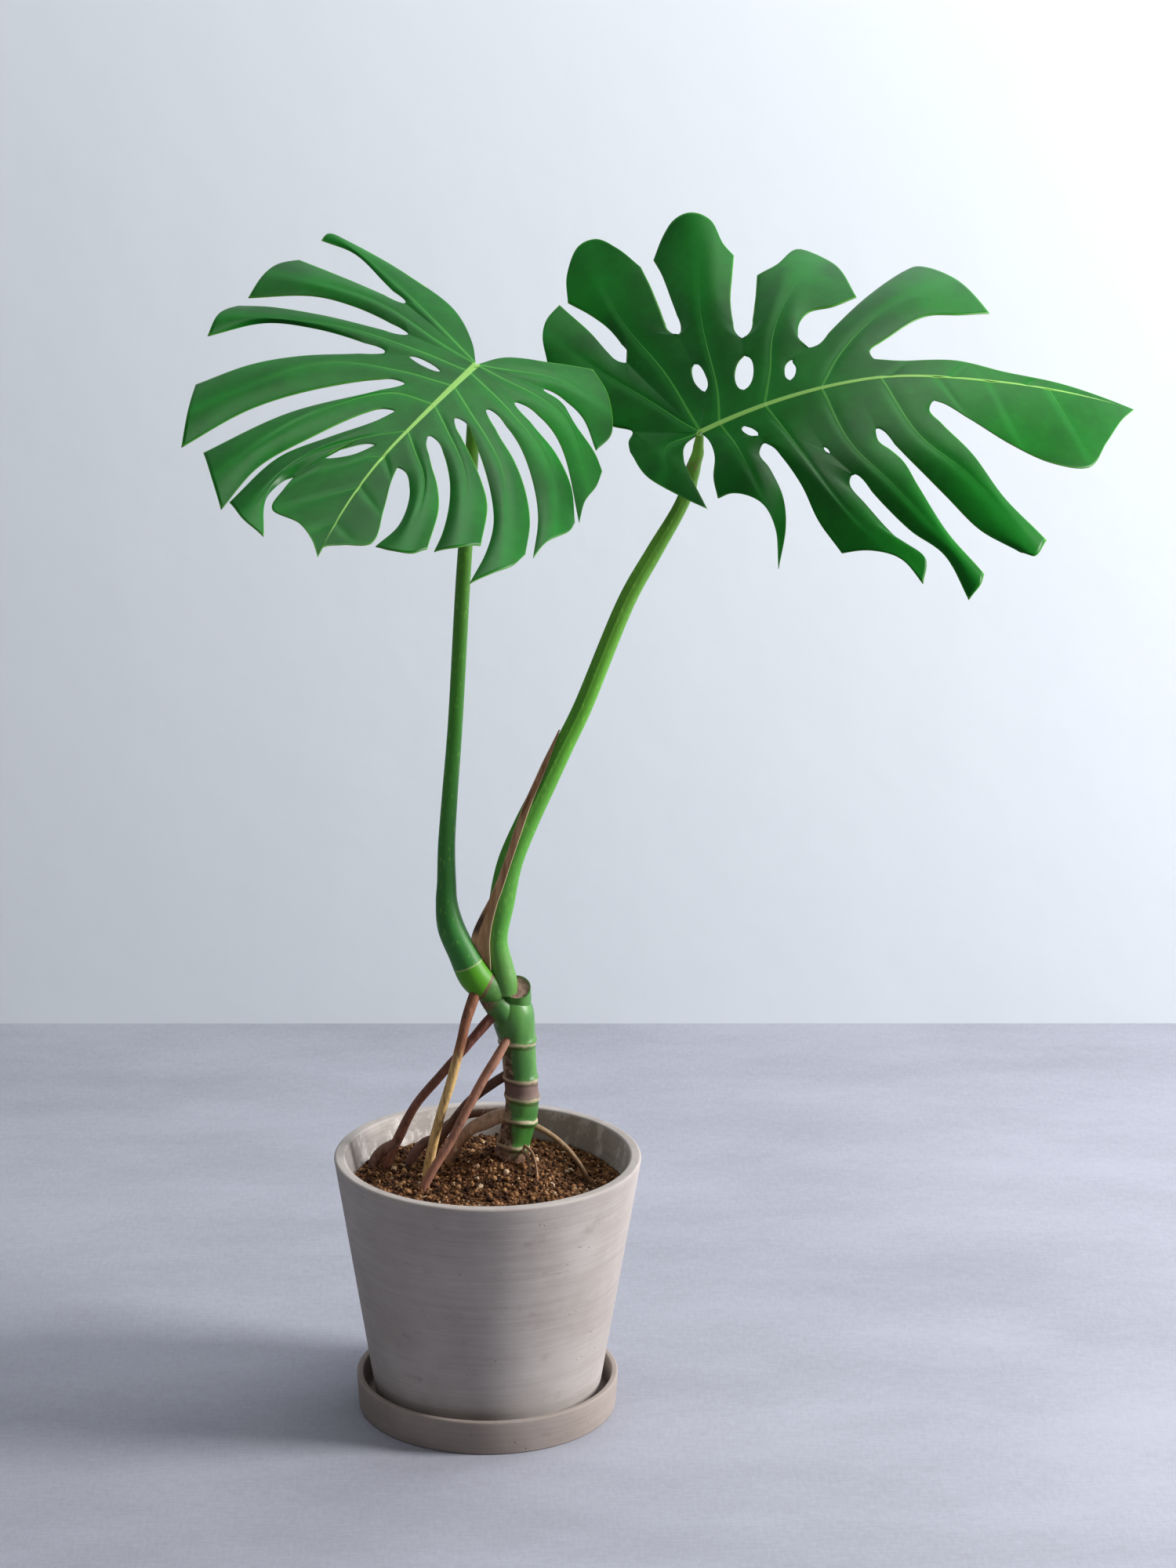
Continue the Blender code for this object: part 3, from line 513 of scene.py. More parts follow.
# bed = rings of points from the middle out, then down the wall and back in under the floor
def makeBed(cfg):
    share = np.linspace(0, 1, cfg["rings"]) ** 0.85
    turn = np.linspace(0, 2 * math.pi, cfg["steps"], endpoint=False)
    wide = insideRadius(cfg, cfg["level"])
    x = share[1:, None] * wide * np.cos(turn)
    y = share[1:, None] * wide * np.sin(turn)
    top = np.stack([x, y, 0 * x], axis=-1)
    top[..., 2] = bedHeight(cfg, top)
    edge = insideRadius(cfg, top[-1, :, 2]) / wide
    top[-1, :, :2] *= edge[:, None]
    low = cfg["floor"]
    shut = [(insideRadius(cfg, 0.16), 0.16), (insideRadius(cfg, low + 0.008), low + 0.008),
            (insideRadius(cfg, low) - 0.0085, low), (0.02, low)]
    skirt = np.stack([np.stack([r * np.cos(turn), r * np.sin(turn), z + 0 * turn], -1) for r, z in shut])
    rows = np.concatenate([top, skirt])
    middle = np.array([[0, 0, float(bedHeight(cfg, np.zeros(3)))], [0, 0, low]])
    points = np.concatenate([rows.reshape(-1, 3), middle])
    count, steps = len(rows), cfg["steps"]
    crown, base = count * steps, count * steps + 1
    caps = [(crown, i, (i + 1) % steps) for i in range(steps)]
    caps += [(base, (count - 1) * steps + (i + 1) % steps, (count - 1) * steps + i) for i in range(steps)]
    faces = gridQuads(count, steps, wrap=True, flip=True).tolist() + caps
    return newPiece("soil_bed", points, faces, [soilLook(cfg)], ["soil"], sharp=60)


# many small lumps in one piece: each is a ball of few faces, stretched, turned and dented, laid on the bed
def scatter(cfg, name, kind, look, level):
    count = cfg[kind + "s"]
    draw = np.random.default_rng(cfg[kind + "Seed"])
    ball = bmesh.new()
    bmesh.ops.create_icosphere(ball, subdivisions=level, radius=1)
    corners = np.array([v.co[:] for v in ball.verts])
    sides = np.array([[v.index for v in f.verts] for f in ball.faces])
    ball.free()
    low, high = cfg[kind + "Sizes"]
    size = low + (high - low) * draw.random(count) ** 3
    reach = (insideRadius(cfg, cfg["level"]) - high - 0.001) * np.sqrt(draw.random(count))
    turn = draw.uniform(0, 2 * math.pi, count)
    spot = np.stack([reach * np.cos(turn), reach * np.sin(turn), 0 * reach], -1)
    spot[:, 2] = bedHeight(cfg, spot) + size * 0.25
    frames = np.linalg.qr(draw.normal(size=(count, 3, 3)))[0]
    frames[:, :, 0] *= np.sign(np.linalg.det(frames))[:, None]
    dents = 1 + 0.22 * draw.normal(size=(count, len(corners), 1)).clip(-1.5, 1.5)
    body = corners * dents * draw.uniform(0.55, 1.1, (count, 1, 3)) * size[:, None, None]
    points = np.einsum("nij,nkj->nki", frames, body) + spot[:, None]
    faces = (sides[None] + (np.arange(count) * len(corners))[:, None, None]).reshape(-1, 3)
    tone = np.repeat(draw.random(count), len(corners))
    return newPiece(name, points.reshape(-1, 3), faces, [look], (), {"tone": tone})


makeBed(soilShape)
scatter(soilShape, "soil_crumbs", "crumb", crumbLook(soilShape), 1)
scatter(soilShape, "soil_grains", "grain", grainLook(soilShape), 2)
print("potting mix laid")


# the stem: a ringed tube leaning at its foot, with the stub of a cut stalk and aerial roots
stemShape = dict(
    path=[
        (14, 22, 205, 15), (19, 20, 240, 15), (27, 20, 272, 16), (33, 20, 303, 16.5),
        (31, 20, 342, 16.5), (29, 20, 368, 17), (25.5, 19, 388, 20), (23, 18, 402, 20.5),
        (20, 17, 412, 17), (18, 17, 418, 11),
    ],
    rows=260, sides=72,
    rings=[(0.371, 0.0016), (0.333, 0.0012), (0.314, 0.0014), (0.291, 0.0020), (0.264, 0.0014)],
    ringWidth=0.0032, tilt=0.10,
    green=(0.085, 0.260, 0.045), deep=(0.035, 0.145, 0.022), pale=(0.50, 0.40, 0.27),
    corky=(0.33, 0.23, 0.15), brown=(0.060, 0.032, 0.018),
    band=[(0.135, 0.085, 0.070), (0.20, 0.13, 0.11)], bandLow=0.3155, bandHigh=0.3315, bandEdge=0.0015,
    foot=[(0.12, 0.065, 0.045), (0.36, 0.22, 0.16)], neck=[(0.03, 0.018, 0.010), (0.16, 0.10, 0.05)],
)


# rings stand proud: each adds a bump of its height where the tilted level passes it
def stemSwell(turns, runs, centre):
    spot = centre[:, 2][:, None] + 0.012 * stemShape["tilt"] * np.sin(turns)
    width = stemShape["ringWidth"]
    proud = sum(lift * np.exp(-(((spot - z) / width) ** 2)) for z, lift in stemShape["rings"])
    uneven = waves(np.stack([np.cos(turns), np.sin(turns), runs * 40], -1), 1.2, 5) - 0.5
    return 1 + proud / 0.0165 + 0.045 * uneven


def stemLook(cfg):
    paint = Paint("stem_skin")
    x, z = paint.axis("X"), paint.axis("Z")
    wobble = paint.noise(60, 3, 0.6) * 0.006 - 0.003
    level = z + wobble + (x - 0.03) * cfg["tilt"]
    body = paint.mix(paint.noise(40, 4, 0.6, (1, 1, 0.35)).step(0.35, 0.7), cfg["deep"], cfg["green"])
    # corky patches, mostly on the left and low down
    left = 1 - (x + paint.noise(35, 3, 0.6) * 0.02 - 0.01).step(0.017, 0.031)
    low = 1 - z.step(0.345, 0.385)
    corky = (left * 0.9 + paint.noise(70, 4, 0.7) * 0.5).step(0.55, 0.95) * low
    cork = paint.mix(paint.noise(120, 4, 0.7).step(0.4, 0.6), cfg["corky"], cfg["brown"])
    body = paint.mix(corky, body, cork)
    foot = 1 - (z + wobble * 2).step(0.252, 0.268)
    body = paint.mix(foot, body, paint.mix(paint.noise(110, 4, 0.7).step(0.4, 0.6), *cfg["foot"]))
    edge = cfg["bandEdge"]
    band = level.step(cfg["bandLow"] - edge, cfg["bandLow"] + edge)
    band = band * (1 - level.step(cfg["bandHigh"] - edge, cfg["bandHigh"] + edge))
    body = paint.mix(band, body, paint.mix(paint.noise(90, 4, 0.7), *cfg["band"]))
    # pale papery rims and a dark line under each
    for place, _ in cfg["rings"]:
        away = (level - place).maths("ABSOLUTE")
        rough = paint.noise(150, 3, 0.7, (1, 1, 1), (place, 0, 0)) * 0.002
        body = paint.mix((1 - (away + rough).step(0.0016, 0.0034)) * 0.85, body, cfg["pale"])
        under = (level - place + 0.0042).maths("ABSOLUTE")
        body = paint.mix((1 - under.step(0.0004, 0.0016)) * 0.6, body, cfg["brown"])
    # a darker, browner patch on the top left of the stem, under the left stalk
    neck = (1 - x.step(0.002, 0.012)) * z.step(0.385, 0.400)
    body = paint.mix(neck, body, paint.mix(paint.noise(90, 4, 0.7), *cfg["neck"]))
    rough = 0.42 + corky * 0.35 + band * 0.3
    height = paint.noise(160, 4, 0.7, (1, 1, 0.5)) * (0.3 + corky) + paint.noise(700, 2) * 0.1
    return paint.finish(body, rough, paint.bump(height, 0.0012, 0.5))


# the neck between the stem and the left stalk's swollen base: green, with bark at its top
neckShape = dict(
    path=[
        (29, 19, 362, 14), (24, 17, 384, 16), (17, 13, 400, 15), (8, 8, 412, 12.5), (0, 4, 421, 10),
        (-4, 1, 428, 8),
    ],
    rows=70, sides=48, green=(0.075, 0.240, 0.040), deep=(0.030, 0.125, 0.020),
    bark=[(0.30, (0.018, 0.012, 0.008)), (0.50, (0.110, 0.065, 0.032)), (0.70, (0.34, 0.220, 0.130))],
)


def neckLook(cfg):
    paint = Paint("neck_scar")
    x, z = paint.axis("X"), paint.axis("Z")
    wrinkle = paint.noise(120, 5, 0.75, (1, 1, 0.6))
    bark = paint.ramp(wrinkle, *cfg["bark"])
    green = paint.mix(paint.noise(40, 4, 0.6, (1, 1, 0.35)).step(0.35, 0.7), cfg["deep"], cfg["green"])
    scarred = (z * 0.55 - x + paint.noise(70, 4, 0.7) * 0.016).step(0.222, 0.240)
    height = wrinkle * (0.15 + scarred)
    body = paint.mix(scarred, green, bark)
    return paint.finish(body, 0.45 + scarred * 0.3, paint.bump(height, 0.0014, 0.7))


def makeNeck(cfg):
    swell = lambda turns, runs, centre: 1 + 0.09 * eased(runs, 0.015, 0.045) * (
        2 * waves(np.stack([np.cos(turns), np.sin(turns), runs * 130], -1), 1.6, 91) - 1)
    look = neckLook(cfg)
    tubePiece("stem_neck", cfg["path"], cfg["rows"], cfg["sides"], [look], swell=swell)


def cutLook():
    paint = Paint("cut_face")
    body = paint.mix(paint.noise(260, 4, 0.7).step(0.35, 0.65), (0.24, 0.140, 0.112), (0.42, 0.270, 0.225))
    return paint.finish(body, 0.85, paint.bump(paint.noise(500, 3), 0.0006, 0.6))


stubShape = dict(
    path=[(27, 18, 404, 14.2), (28, 15, 416, 13.9), (28, 8, 428.5, 13.2)],
    rows=26, sides=48, rim=0.0011, face=(0.0, -0.80, 0.60),
)


# a short leaning tube whose open end is closed by a flat, slightly dished face inside a raised rim
def makeStub(cfg, skin, face):
    grid, turns, runs, centre = tubeGrid(cfg["path"], cfg["rows"], cfg["sides"])
    normal = np.array(cfg["face"]) / np.linalg.norm(cfg["face"])
    heart = centre[-1]
    last = grid[-1] - ((grid[-1] - heart) @ normal)[:, None] * normal
    rings = [last + normal * cfg["rim"]]
    for share, lift in ((0.93, cfg["rim"]), (0.88, 0.0), (0.6, -0.0006), (0.3, -0.0008)):
        rings.append(heart + (last - heart) * share + normal * lift)
    rows = np.concatenate([grid[:-1], np.stack(rings)])
    count, sides = len(rows), cfg["sides"]
    points = np.concatenate([rows.reshape(-1, 3), [rows[0].mean(0), heart - normal * 0.0008]])
    last = (count - 1) * sides
    near = [(count * sides, (i + 1) % sides, i) for i in range(sides)]
    far = [(count * sides + 1, last + i, last + (i + 1) % sides) for i in range(sides)]
    faces = gridQuads(count, sides, wrap=True).tolist() + near + far
    piece = newPiece("cut_stub", points, faces, [skin, face], (), sharp=40)
    first = len(grid) * sides
    kind = np.zeros(len(faces), int)
    kind[first:first + 3 * sides] = 1
    kind[-sides:] = 1
    piece.data.polygons.foreach_set("material_index", kind)


# aerial roots: centre-line and radius in millimetres, and each one's upper and lower colours, with the run
# in metres where the one turns into the other
rootShape = dict(
    rows=90, thinRows=40, firstThin=10, gnarled=5, sides=20,
    lines=[
        [(-10, -5, 434, 5.6), (-16, -10, 418, 5.6), (-21, -13, 402, 5.2), (-26, -14, 380, 4.8),
         (-36, -15, 340, 4.6), (-48, -9, 297, 4.6), (-59, 3, 240, 4.8), (-61, 5, 216, 4.0)],
        [(20, 12, 414, 5.2), (4, 5, 400, 5.0), (-24, 2, 367, 4.6), (-48, 6, 337, 4.4), (-71, 15, 305, 4.4),
         (-86, 25, 272, 5.0), (-95, 30, 250, 5.0), (-103, 35, 226, 5.0), (-105, 36, 212, 4.6)],
        [(22, 8, 381, 3.4), (14, 0, 370, 4.4), (6, -5, 357, 4.8), (-3, -8, 343, 4.6), (-18, -13, 315, 4.6),
         (-37, -18, 279, 4.4), (-62, -27, 236, 4.4), (-66, -29, 214, 4.0)],
        [(22, 24, 336, 5.0), (2, 26, 322, 4.8), (-18, 30, 304, 4.6), (-38, 36, 276, 4.4),
         (-54, 46, 244, 4.4), (-58, 49, 214, 4.2)],
        [(26, 20, 296, 7.0), (12, 20, 292, 7.0), (-4, 20, 285, 7.0), (-18, 24, 276, 6.0),
         (-28, 28, 262, 5.4), (-38, 31, 238, 5.0), (-41, 32, 214, 4.6)],
        [(28, 26, 294, 4.6), (4, 50, 285, 4.4), (-20, 66, 277, 4.2), (-46, 78, 256, 4.2),
         (-58, 84, 216, 4.0)],
        [(40, 20, 284, 3.2), (52, 20, 279, 3.0), (70, 20, 266, 2.8), (86, 20, 248, 2.6), (98, 20, 226, 2.6),
         (102, 20, 206, 2.4)],
        [(-89, 27, 262, 5.2), (-104, 31, 252, 5.4), (-112, 36, 238, 5.4), (-114, 38, 214, 5.0)],
        [(-46, 40, 262, 4.6), (-62, 44, 256, 5.0), (-75, 42, 240, 5.0), (-82, 42, 214, 4.8)],
        [(33, 6, 262, 1.6), (38, 2, 256, 1.5), (41, -6, 247, 1.4), (39, -18, 236, 1.3), (37, -24, 226, 1.2)],
        [(36, 8, 266, 1.6), (43, 2, 261, 1.5), (47, -8, 250, 1.4), (48, -18, 239, 1.3), (48, -26, 228, 1.2)],
    ],
    tones=[
        ((0.24, 0.090, 0.040), (0.66, 0.440, 0.170), 0.050, 0.085),
        ((0.165, 0.055, 0.034), (0.23, 0.092, 0.056), 0.0, 0.3),
        ((0.36, 0.170, 0.110), (0.29, 0.120, 0.076), 0.0, 0.2),
        ((0.095, 0.042, 0.025), (0.19, 0.085, 0.052), 0.0, 0.2),
        ((0.56, 0.370, 0.250), (0.36, 0.190, 0.120), 0.02, 0.08),
        ((0.17, 0.090, 0.055), (0.23, 0.120, 0.075), 0.0, 0.2),
        ((0.26, 0.165, 0.080), (0.18, 0.095, 0.045), 0.0, 0.1),
        ((0.17, 0.085, 0.058), (0.21, 0.110, 0.075), 0.0, 0.1),
        ((0.18, 0.085, 0.060), (0.22, 0.110, 0.080), 0.0, 0.1),
        ((0.24, 0.125, 0.060), (0.18, 0.090, 0.045), 0.0, 0.05),
        ((0.24, 0.125, 0.060), (0.18, 0.090, 0.045), 0.0, 0.05),
    ],
)


def rootLook(number, upper, lower, start, end):
    paint = Paint(f"root_skin_{number}")
    run = paint.along("run")
    body = paint.mix((run + paint.noise(60, 3) * 0.03 - 0.015).step(start, end + 0.01), upper, lower)
    grain = paint.noise(220, 4, 0.7, (1, 1, 0.22))
    body = paint.mix(grain.step(0.46, 0.66) * 0.70, body, tuple(0.36 * c for c in upper))
    specks = (1 - paint.cells(150, (1, 1, 0.6)).step(0.10, 0.24)) * paint.noise(50, 2).step(0.52, 0.62)
    body = paint.mix(specks * 0.7, body, (0.035, 0.016, 0.010))
    flecks = paint.noise(130, 4, 0.7, (1, 1, 0.4), (4, 4, 4)).step(0.56, 0.68) * 0.55
    body = paint.mix(flecks, body, tuple(min(1, 1.9 * c + 0.06) for c in upper))
    return paint.finish(body, 0.72, paint.bump(grain + specks * 0.5, 0.0009, 0.6))


def makeRoots(cfg):
    for number, (line, tone) in enumerate(zip(cfg["lines"], cfg["tones"]), 1):
        lumpy = 0.10 if number == cfg["gnarled"] else 0.05
        around = lambda turns, runs: np.stack([np.cos(turns), np.sin(turns), runs * 110 + number], -1)
        swell = lambda turns, runs, centre: 1 + lumpy * (2 * waves(around(turns, runs), 1.1, 30 + number) - 1)
        rows = cfg["rows"] if number < cfg["firstThin"] else cfg["thinRows"]
        look = rootLook(number, *tone)
        tubePiece(f"root_{number}", line, rows, cfg["sides"], [look], swell=swell)


skin = stemLook(stemShape)
tubePiece("stem_body", stemShape["path"], stemShape["rows"], stemShape["sides"], [skin],
          ["stem"], stemSwell)
makeStub(stubShape, skin, cutLook())
makeNeck(neckShape)
makeRoots(rootShape)
print("stem and roots grown")


# stalks: centre-line and radius in millimetres, and the greens from foot to blade
stalkShape = dict(
    left=[
        (10, 8, 424, 12), (0, 4, 430, 15), (-12, 0, 442, 16), (-25, 0, 467, 14), (-36, 0, 493, 13),
        (-40, 2, 517, 10.5), (-40, 4, 535, 9.3), (-40, 6, 571, 8.3), (-37, 10, 619, 7.6), (-32, 16, 685, 7.1),
        (-24, 26, 831, 7.0), (-17, 31, 931, 6.4), (-14, 33, 985, 6.2), (-12.5, 32, 1012, 5.6),
        (-12.2, 30.8, 1023, 4.6), (-12.6, 29.4, 1030, 3.6),
    ],
    right=[
        (17, 7, 424, 11), (16, 6, 435, 12.2), (12.5, 7, 450, 12), (8, 6, 477, 10.7), (13, 2, 517, 12.3),
        (21, 0, 557, 12),
        (36, -2, 596, 11.2), (54, -3, 635, 10.2), (72, -3, 674, 9.4), (88, -2, 708, 9), (131, 0, 816, 8.4),
        (155, 1, 860, 7.8), (180, 2, 905, 6.6), (189, 3, 930, 7.0), (193, 3, 948, 6.2),
        (195.2, 2.4, 962, 4.6), (196, 1, 971, 3.6),
    ],
    leftGreens=[(0.034, 0.190, 0.032), (0.055, 0.260, 0.024), (0.170, 0.400, 0.036)],
    rightGreens=[(0.080, 0.300, 0.036), (0.095, 0.330, 0.022), (0.180, 0.400, 0.050)],
    rows=420, sides=56,
)


# two low edges run up the side where the sheath was attached; the bend under the blade is knobbly
def stalkSwell(knee, kneeEnd, ridge):
    def swell(turns, runs, centre):
        z = centre[:, 2][:, None] + 0 * turns
        gaps = [(turns - at + math.pi) % (2 * math.pi) - math.pi for at in ridge]
        edges = sum(np.exp(-((gap / 0.16) ** 2)) for gap in gaps)
        body = eased(z, 0.48, 0.56) * (1 - eased(z, 0.90, 0.94))
        knob = eased(z, knee, knee + 0.01) * (1 - eased(z, kneeEnd - 0.006, kneeEnd))
        lumps = waves(np.stack([np.cos(turns), np.sin(turns), z * 260], -1), 1.6, 44) - 0.5
        return 1 + 0.10 * edges * body + 0.30 * lumps * knob
    return swell


def stalkLook(name, low, mid, high, bulb):
    paint = Paint(name)
    x, z = paint.axis("X"), paint.axis("Z")
    body = paint.ramp((z - 0.43) / 0.60, (0.0, low), (0.18, low), (0.45, mid), (1.0, high))
    streak = paint.noise(70, 4, 0.65, (1, 1, 0.05)).step(0.35, 0.7)
    body = paint.mix(streak * 0.35, body, tuple(0.55 * c for c in mid))
    specks = paint.noise(420, 2, 0.5, (1, 1, 0.3)).step(0.60, 0.70) * 0.25
    body = paint.mix(specks, body, tuple(min(1, 1.7 * c + 0.03) for c in high))
    if bulb:
        # young growth under a pale ring: bright green, with a brown scar at its foot
        level = z - (x + 0.017) * 0.44
        ring = (level - 0.456).maths("ABSOLUTE")
        body = paint.mix(1 - level.step(0.454, 0.458), body, (0.075, 0.290, 0.008))
        body = paint.mix((1 - ring.step(0.0004, 0.0012)) * 0.8, body, (0.32, 0.42, 0.16))
        side = x - (z - 0.425) * 0.57 + paint.noise(90, 3) * 0.003
        beyond = side.step(-0.0065, -0.0055)
        patch = paint.noise(60, 4, 0.6).step(0.35, 0.7)
        bark = paint.mix(patch, (0.040, 0.130, 0.022), (0.090, 0.240, 0.045))
        body = paint.mix(beyond, body, bark)
        scar = beyond * (1 - side.step(-0.0040, -0.0015))
        torn = paint.mix(paint.noise(110, 4, 0.7), (0.06, 0.030, 0.014), (0.24, 0.14, 0.07))
        body = paint.mix(scar, body, torn)
    else:
        foot = 1 - z.step(0.450, 0.490)
        body = paint.mix(foot * 0.6, body, (0.100, 0.220, 0.055))
        scab = z.step(0.915, 0.925) * (1 - z.step(0.955, 0.965)) * paint.noise(150, 4, 0.7).step(0.52, 0.62)
        body = paint.mix(scab * 0.8, body, (0.28, 0.20, 0.08))
    height = paint.noise(300, 3, 0.6, (1, 1, 0.08)) + paint.noise(900, 2) * 0.2
    return paint.finish(body, 0.48, paint.bump(height, 0.0004, 0.35), Specular_IOR_Level=0.32)


# the dry sheath: a curled papery strip on the front of the right stalk, wide and torn at its foot
sheathShape = dict(
    centre=[(-8, 452), (-7, 484), (-1, 506), (8, 530), (17, 557), (36, 615), (48, 644), (67, 690)],
    width=[21, 17, 8.5, 7, 7, 6.5, 6, 1.2],
    rows=240, cols=24, stand=1.2, curl=2.4, thick=0.0006,
)


def sheathLook():
    paint = Paint("dry_sheath_paper")
    z = paint.axis("Z")
    fibre = paint.noise(120, 5, 0.7, (1, 1, 0.06))
    body = paint.mix(fibre.step(0.3, 0.7), (0.25, 0.115, 0.048), (0.62, 0.360, 0.190))
    cream = paint.along("edge").step(0.78, 0.95) * 0.7
    body = paint.mix(cream, body, (0.66, 0.50, 0.33))
    dark = z.step(0.478, 0.492) * (1 - z.step(0.500, 0.520)) * (1 - paint.along("across").step(0.30, 0.42))
    body = paint.mix(dark * 0.9, body, (0.028, 0.013, 0.008))
    return paint.finish(body, 0.8, paint.bump(fibre, 0.0012, 0.7))


# rows climb the strip, columns cross it; each point stands off the stalk by a little more towards the edges
def makeSheath(cfg, path):
    line = curveThrough(path, np.linspace(0.02, 0.55, 400))
    share = np.linspace(0, 1, cfg["rows"])
    spine = curveThrough(cfg["centre"], share)
    wide = np.interp(share, np.linspace(0, 1, len(cfg["width"])), cfg["width"])
    near = line[np.abs(line[:, 2][None] - spine[:, 1][:, None]).argmin(1)]
    across = np.linspace(-1, 1, cfg["cols"])
    ragged = 5.0 * waves(across[:, None] * 4.0, 2.0, 61, 6) - 2.0
    height = spine[:, 1][:, None] - (ragged * (1 - eased(share, 0.0, 0.12))[:, None])
    ripple = waves(np.stack(np.broadcast_arrays(across[None] * 2.2, share[:, None] * 14), -1), 1.0, 62) - 0.5
    lift = cfg["stand"] + cfg["curl"] * np.abs(across) ** 3 * eased(wide, 2, 12)[:, None] + 1.1 * ripple
    x = spine[:, :1] + across * wide[:, None] / 2
    away = x - near[:, :1]
    y = near[:, 1:2] - np.sqrt(np.maximum(near[:, 3:] ** 2 - away**2, (0.5 * near[:, 3:]) ** 2)) - lift
    points = np.stack([x, y, height], -1) / 1000
    marks = {"edge": np.abs(across), "across": across * 0.5 + 0.5}
    marks = {label: np.broadcast_to(values, x.shape) for label, values in marks.items()}
    faces = gridQuads(cfg["rows"], cfg["cols"])
    piece = newPiece("dry_sheath_strip", points.reshape(-1, 3), faces, [sheathLook()],
                     ["dry_sheath"], marks)
    sheet = piece.modifiers.new("thickness", "SOLIDIFY")
    sheet.thickness = cfg["thick"]
    sheet.offset = 0


# each stalk: its colours from the foot up, the heights between which it is knobbly, and where its edges run
def makeStalk(cfg, side, swell):
    look = stalkLook(side + "_stalk_skin", *cfg[side + "Greens"], side == "left")
    tubePiece(side + "_petiole", cfg[side], cfg["rows"], cfg["sides"], [look],
              [side + "_stalk"], stalkSwell(*swell))


makeStalk(stalkShape, "left", (2.0, 2.1, (2.6, 3.6)))
makeStalk(stalkShape, "right", (0.915, 0.962, (-1.25, -0.35)))
makeSheath(sheathShape, stalkShape["right"])
print("stalks and sheath made")


# a lobe of a blade, in millimetres on the leaf's own plane: X along the midrib, Y across it. It leaves the
# midrib between two seams, is joined to its neighbours up to the bottoms of the slits, then runs free
def lobe(side, seams, near, end, far, vein, swell=5.0):
    return dict(side=side, seams=seams, near=near, end=end, far=far, vein=vein, swell=swell)


leftLobes = [
    lobe(-1, (0, 0), [(0, 0), (-27, -21), (-63, -64), (-89, -132), (-115, -224)], [(-111, -237)],
         [(-45, -107), (-64, -142), (-94, -196), (-101, -238)], [(-36, -70), (-74, -145)], 3),
    lobe(-1, (0, 0), [(-45, -107), (-45, -121), (-50, -168), (-59, -236)], [(-38, -246), (-17, -247)],
         [(-2, -76), (-8, -98), (-13, -145), (-8, -190), (22, -240)], [(-8, -45), (-28, -128)]),
    lobe(-1, (0, 1), [(-2, -76), (3, -90), (15, -162), (26, -212), (38, -240)], [(63, -245)],
         [(34, -79), (32, -90), (38, -155), (52, -200), (94, -237)], [(15, -56), (25, -130)]),
    lobe(-1, (1, 2), [(34, -79), (52, -102), (82, -144), (113, -175), (162, -203)], [(202, -184)],
         [(63, -38), (67, -55), (104, -94), (166, -137), (242, -163)], [(50, -50), (78, -111)]),
    lobe(-1, (2, 3), [(63, -38), (88, -55), (154, -104), (239, -141)], [(268, -112)],
         [(102, -24), (110, -40), (180, -71), (230, -86), (293, -84)], [(81, -41), (147, -83)]),
    lobe(-1, (3, 4), [(102, -24), (124, -32), (164, -55), (210, -78), (282, -83)], [(297, -58)],
         [(226, -52), (237, -57), (262, -57), (301, -33)], [(150, -29), (212, -60)]),
    lobe(-1, (4, 5), [(226, -52), (243, -51), (269, -46)], [(271, -16), (281, 4)], [(296, 21)], [], 0),
    lobe(1, (0, 0), [(0, 0), (-26, 15), (-54, 52), (-80, 82)], [(-64, 109), (-30, 134)],
         [(-17, 65), (-22, 82), (-21, 106), (-2, 134)], [(-14, 28), (-38, 70)], 3),
    lobe(1, (0, 0), [(-17, 65), (-19, 81), (-7, 107), (2, 135), (11, 149)], [(31, 155), (58, 158)],
         [(19, 55), (15, 73), (18, 95), (31, 118), (80, 166)], [(0, 30), (-2, 100)], 3),
    lobe(1, (0, 1), [(19, 55), (30, 83), (38, 113), (54, 140), (85, 164)], [(103, 168), (139, 164)],
         [(46, 41), (48, 56), (60, 85), (86, 117), (117, 142), (163, 165)], [(33, 58), (60, 119)]),
    lobe(1, (1, 2), [(46, 41), (65, 65), (80, 92), (100, 117), (128, 140), (167, 159)],
         [(193, 161), (214, 154)],
         [(76, 25), (78, 39), (100, 67), (133, 100), (162, 121), (198, 135), (237, 143)],
         [(60, 31), (106, 97)]),
    lobe(1, (2, 3), [(76, 25), (89, 37), (107, 61), (125, 84), (147, 105), (193, 127)], [(214, 116)],
         [(112, 19), (117, 34), (142, 60), (171, 79), (206, 94), (229, 100)], [(95, 28), (135, 73)]),
    lobe(1, (3, 4), [(112, 19), (122, 24), (142, 41), (160, 59), (184, 76), (231, 94)],
         [(247, 88), (256, 70)], [(165, 19), (168, 30), (186, 46), (224, 59), (257, 56)],
         [(137, 20), (169, 51)]),
    lobe(1, (4, 5), [(165, 19), (182, 24), (216, 38), (256, 51)], [(272, 31), (283, 19)], [(296, 21)], [], 0),
]
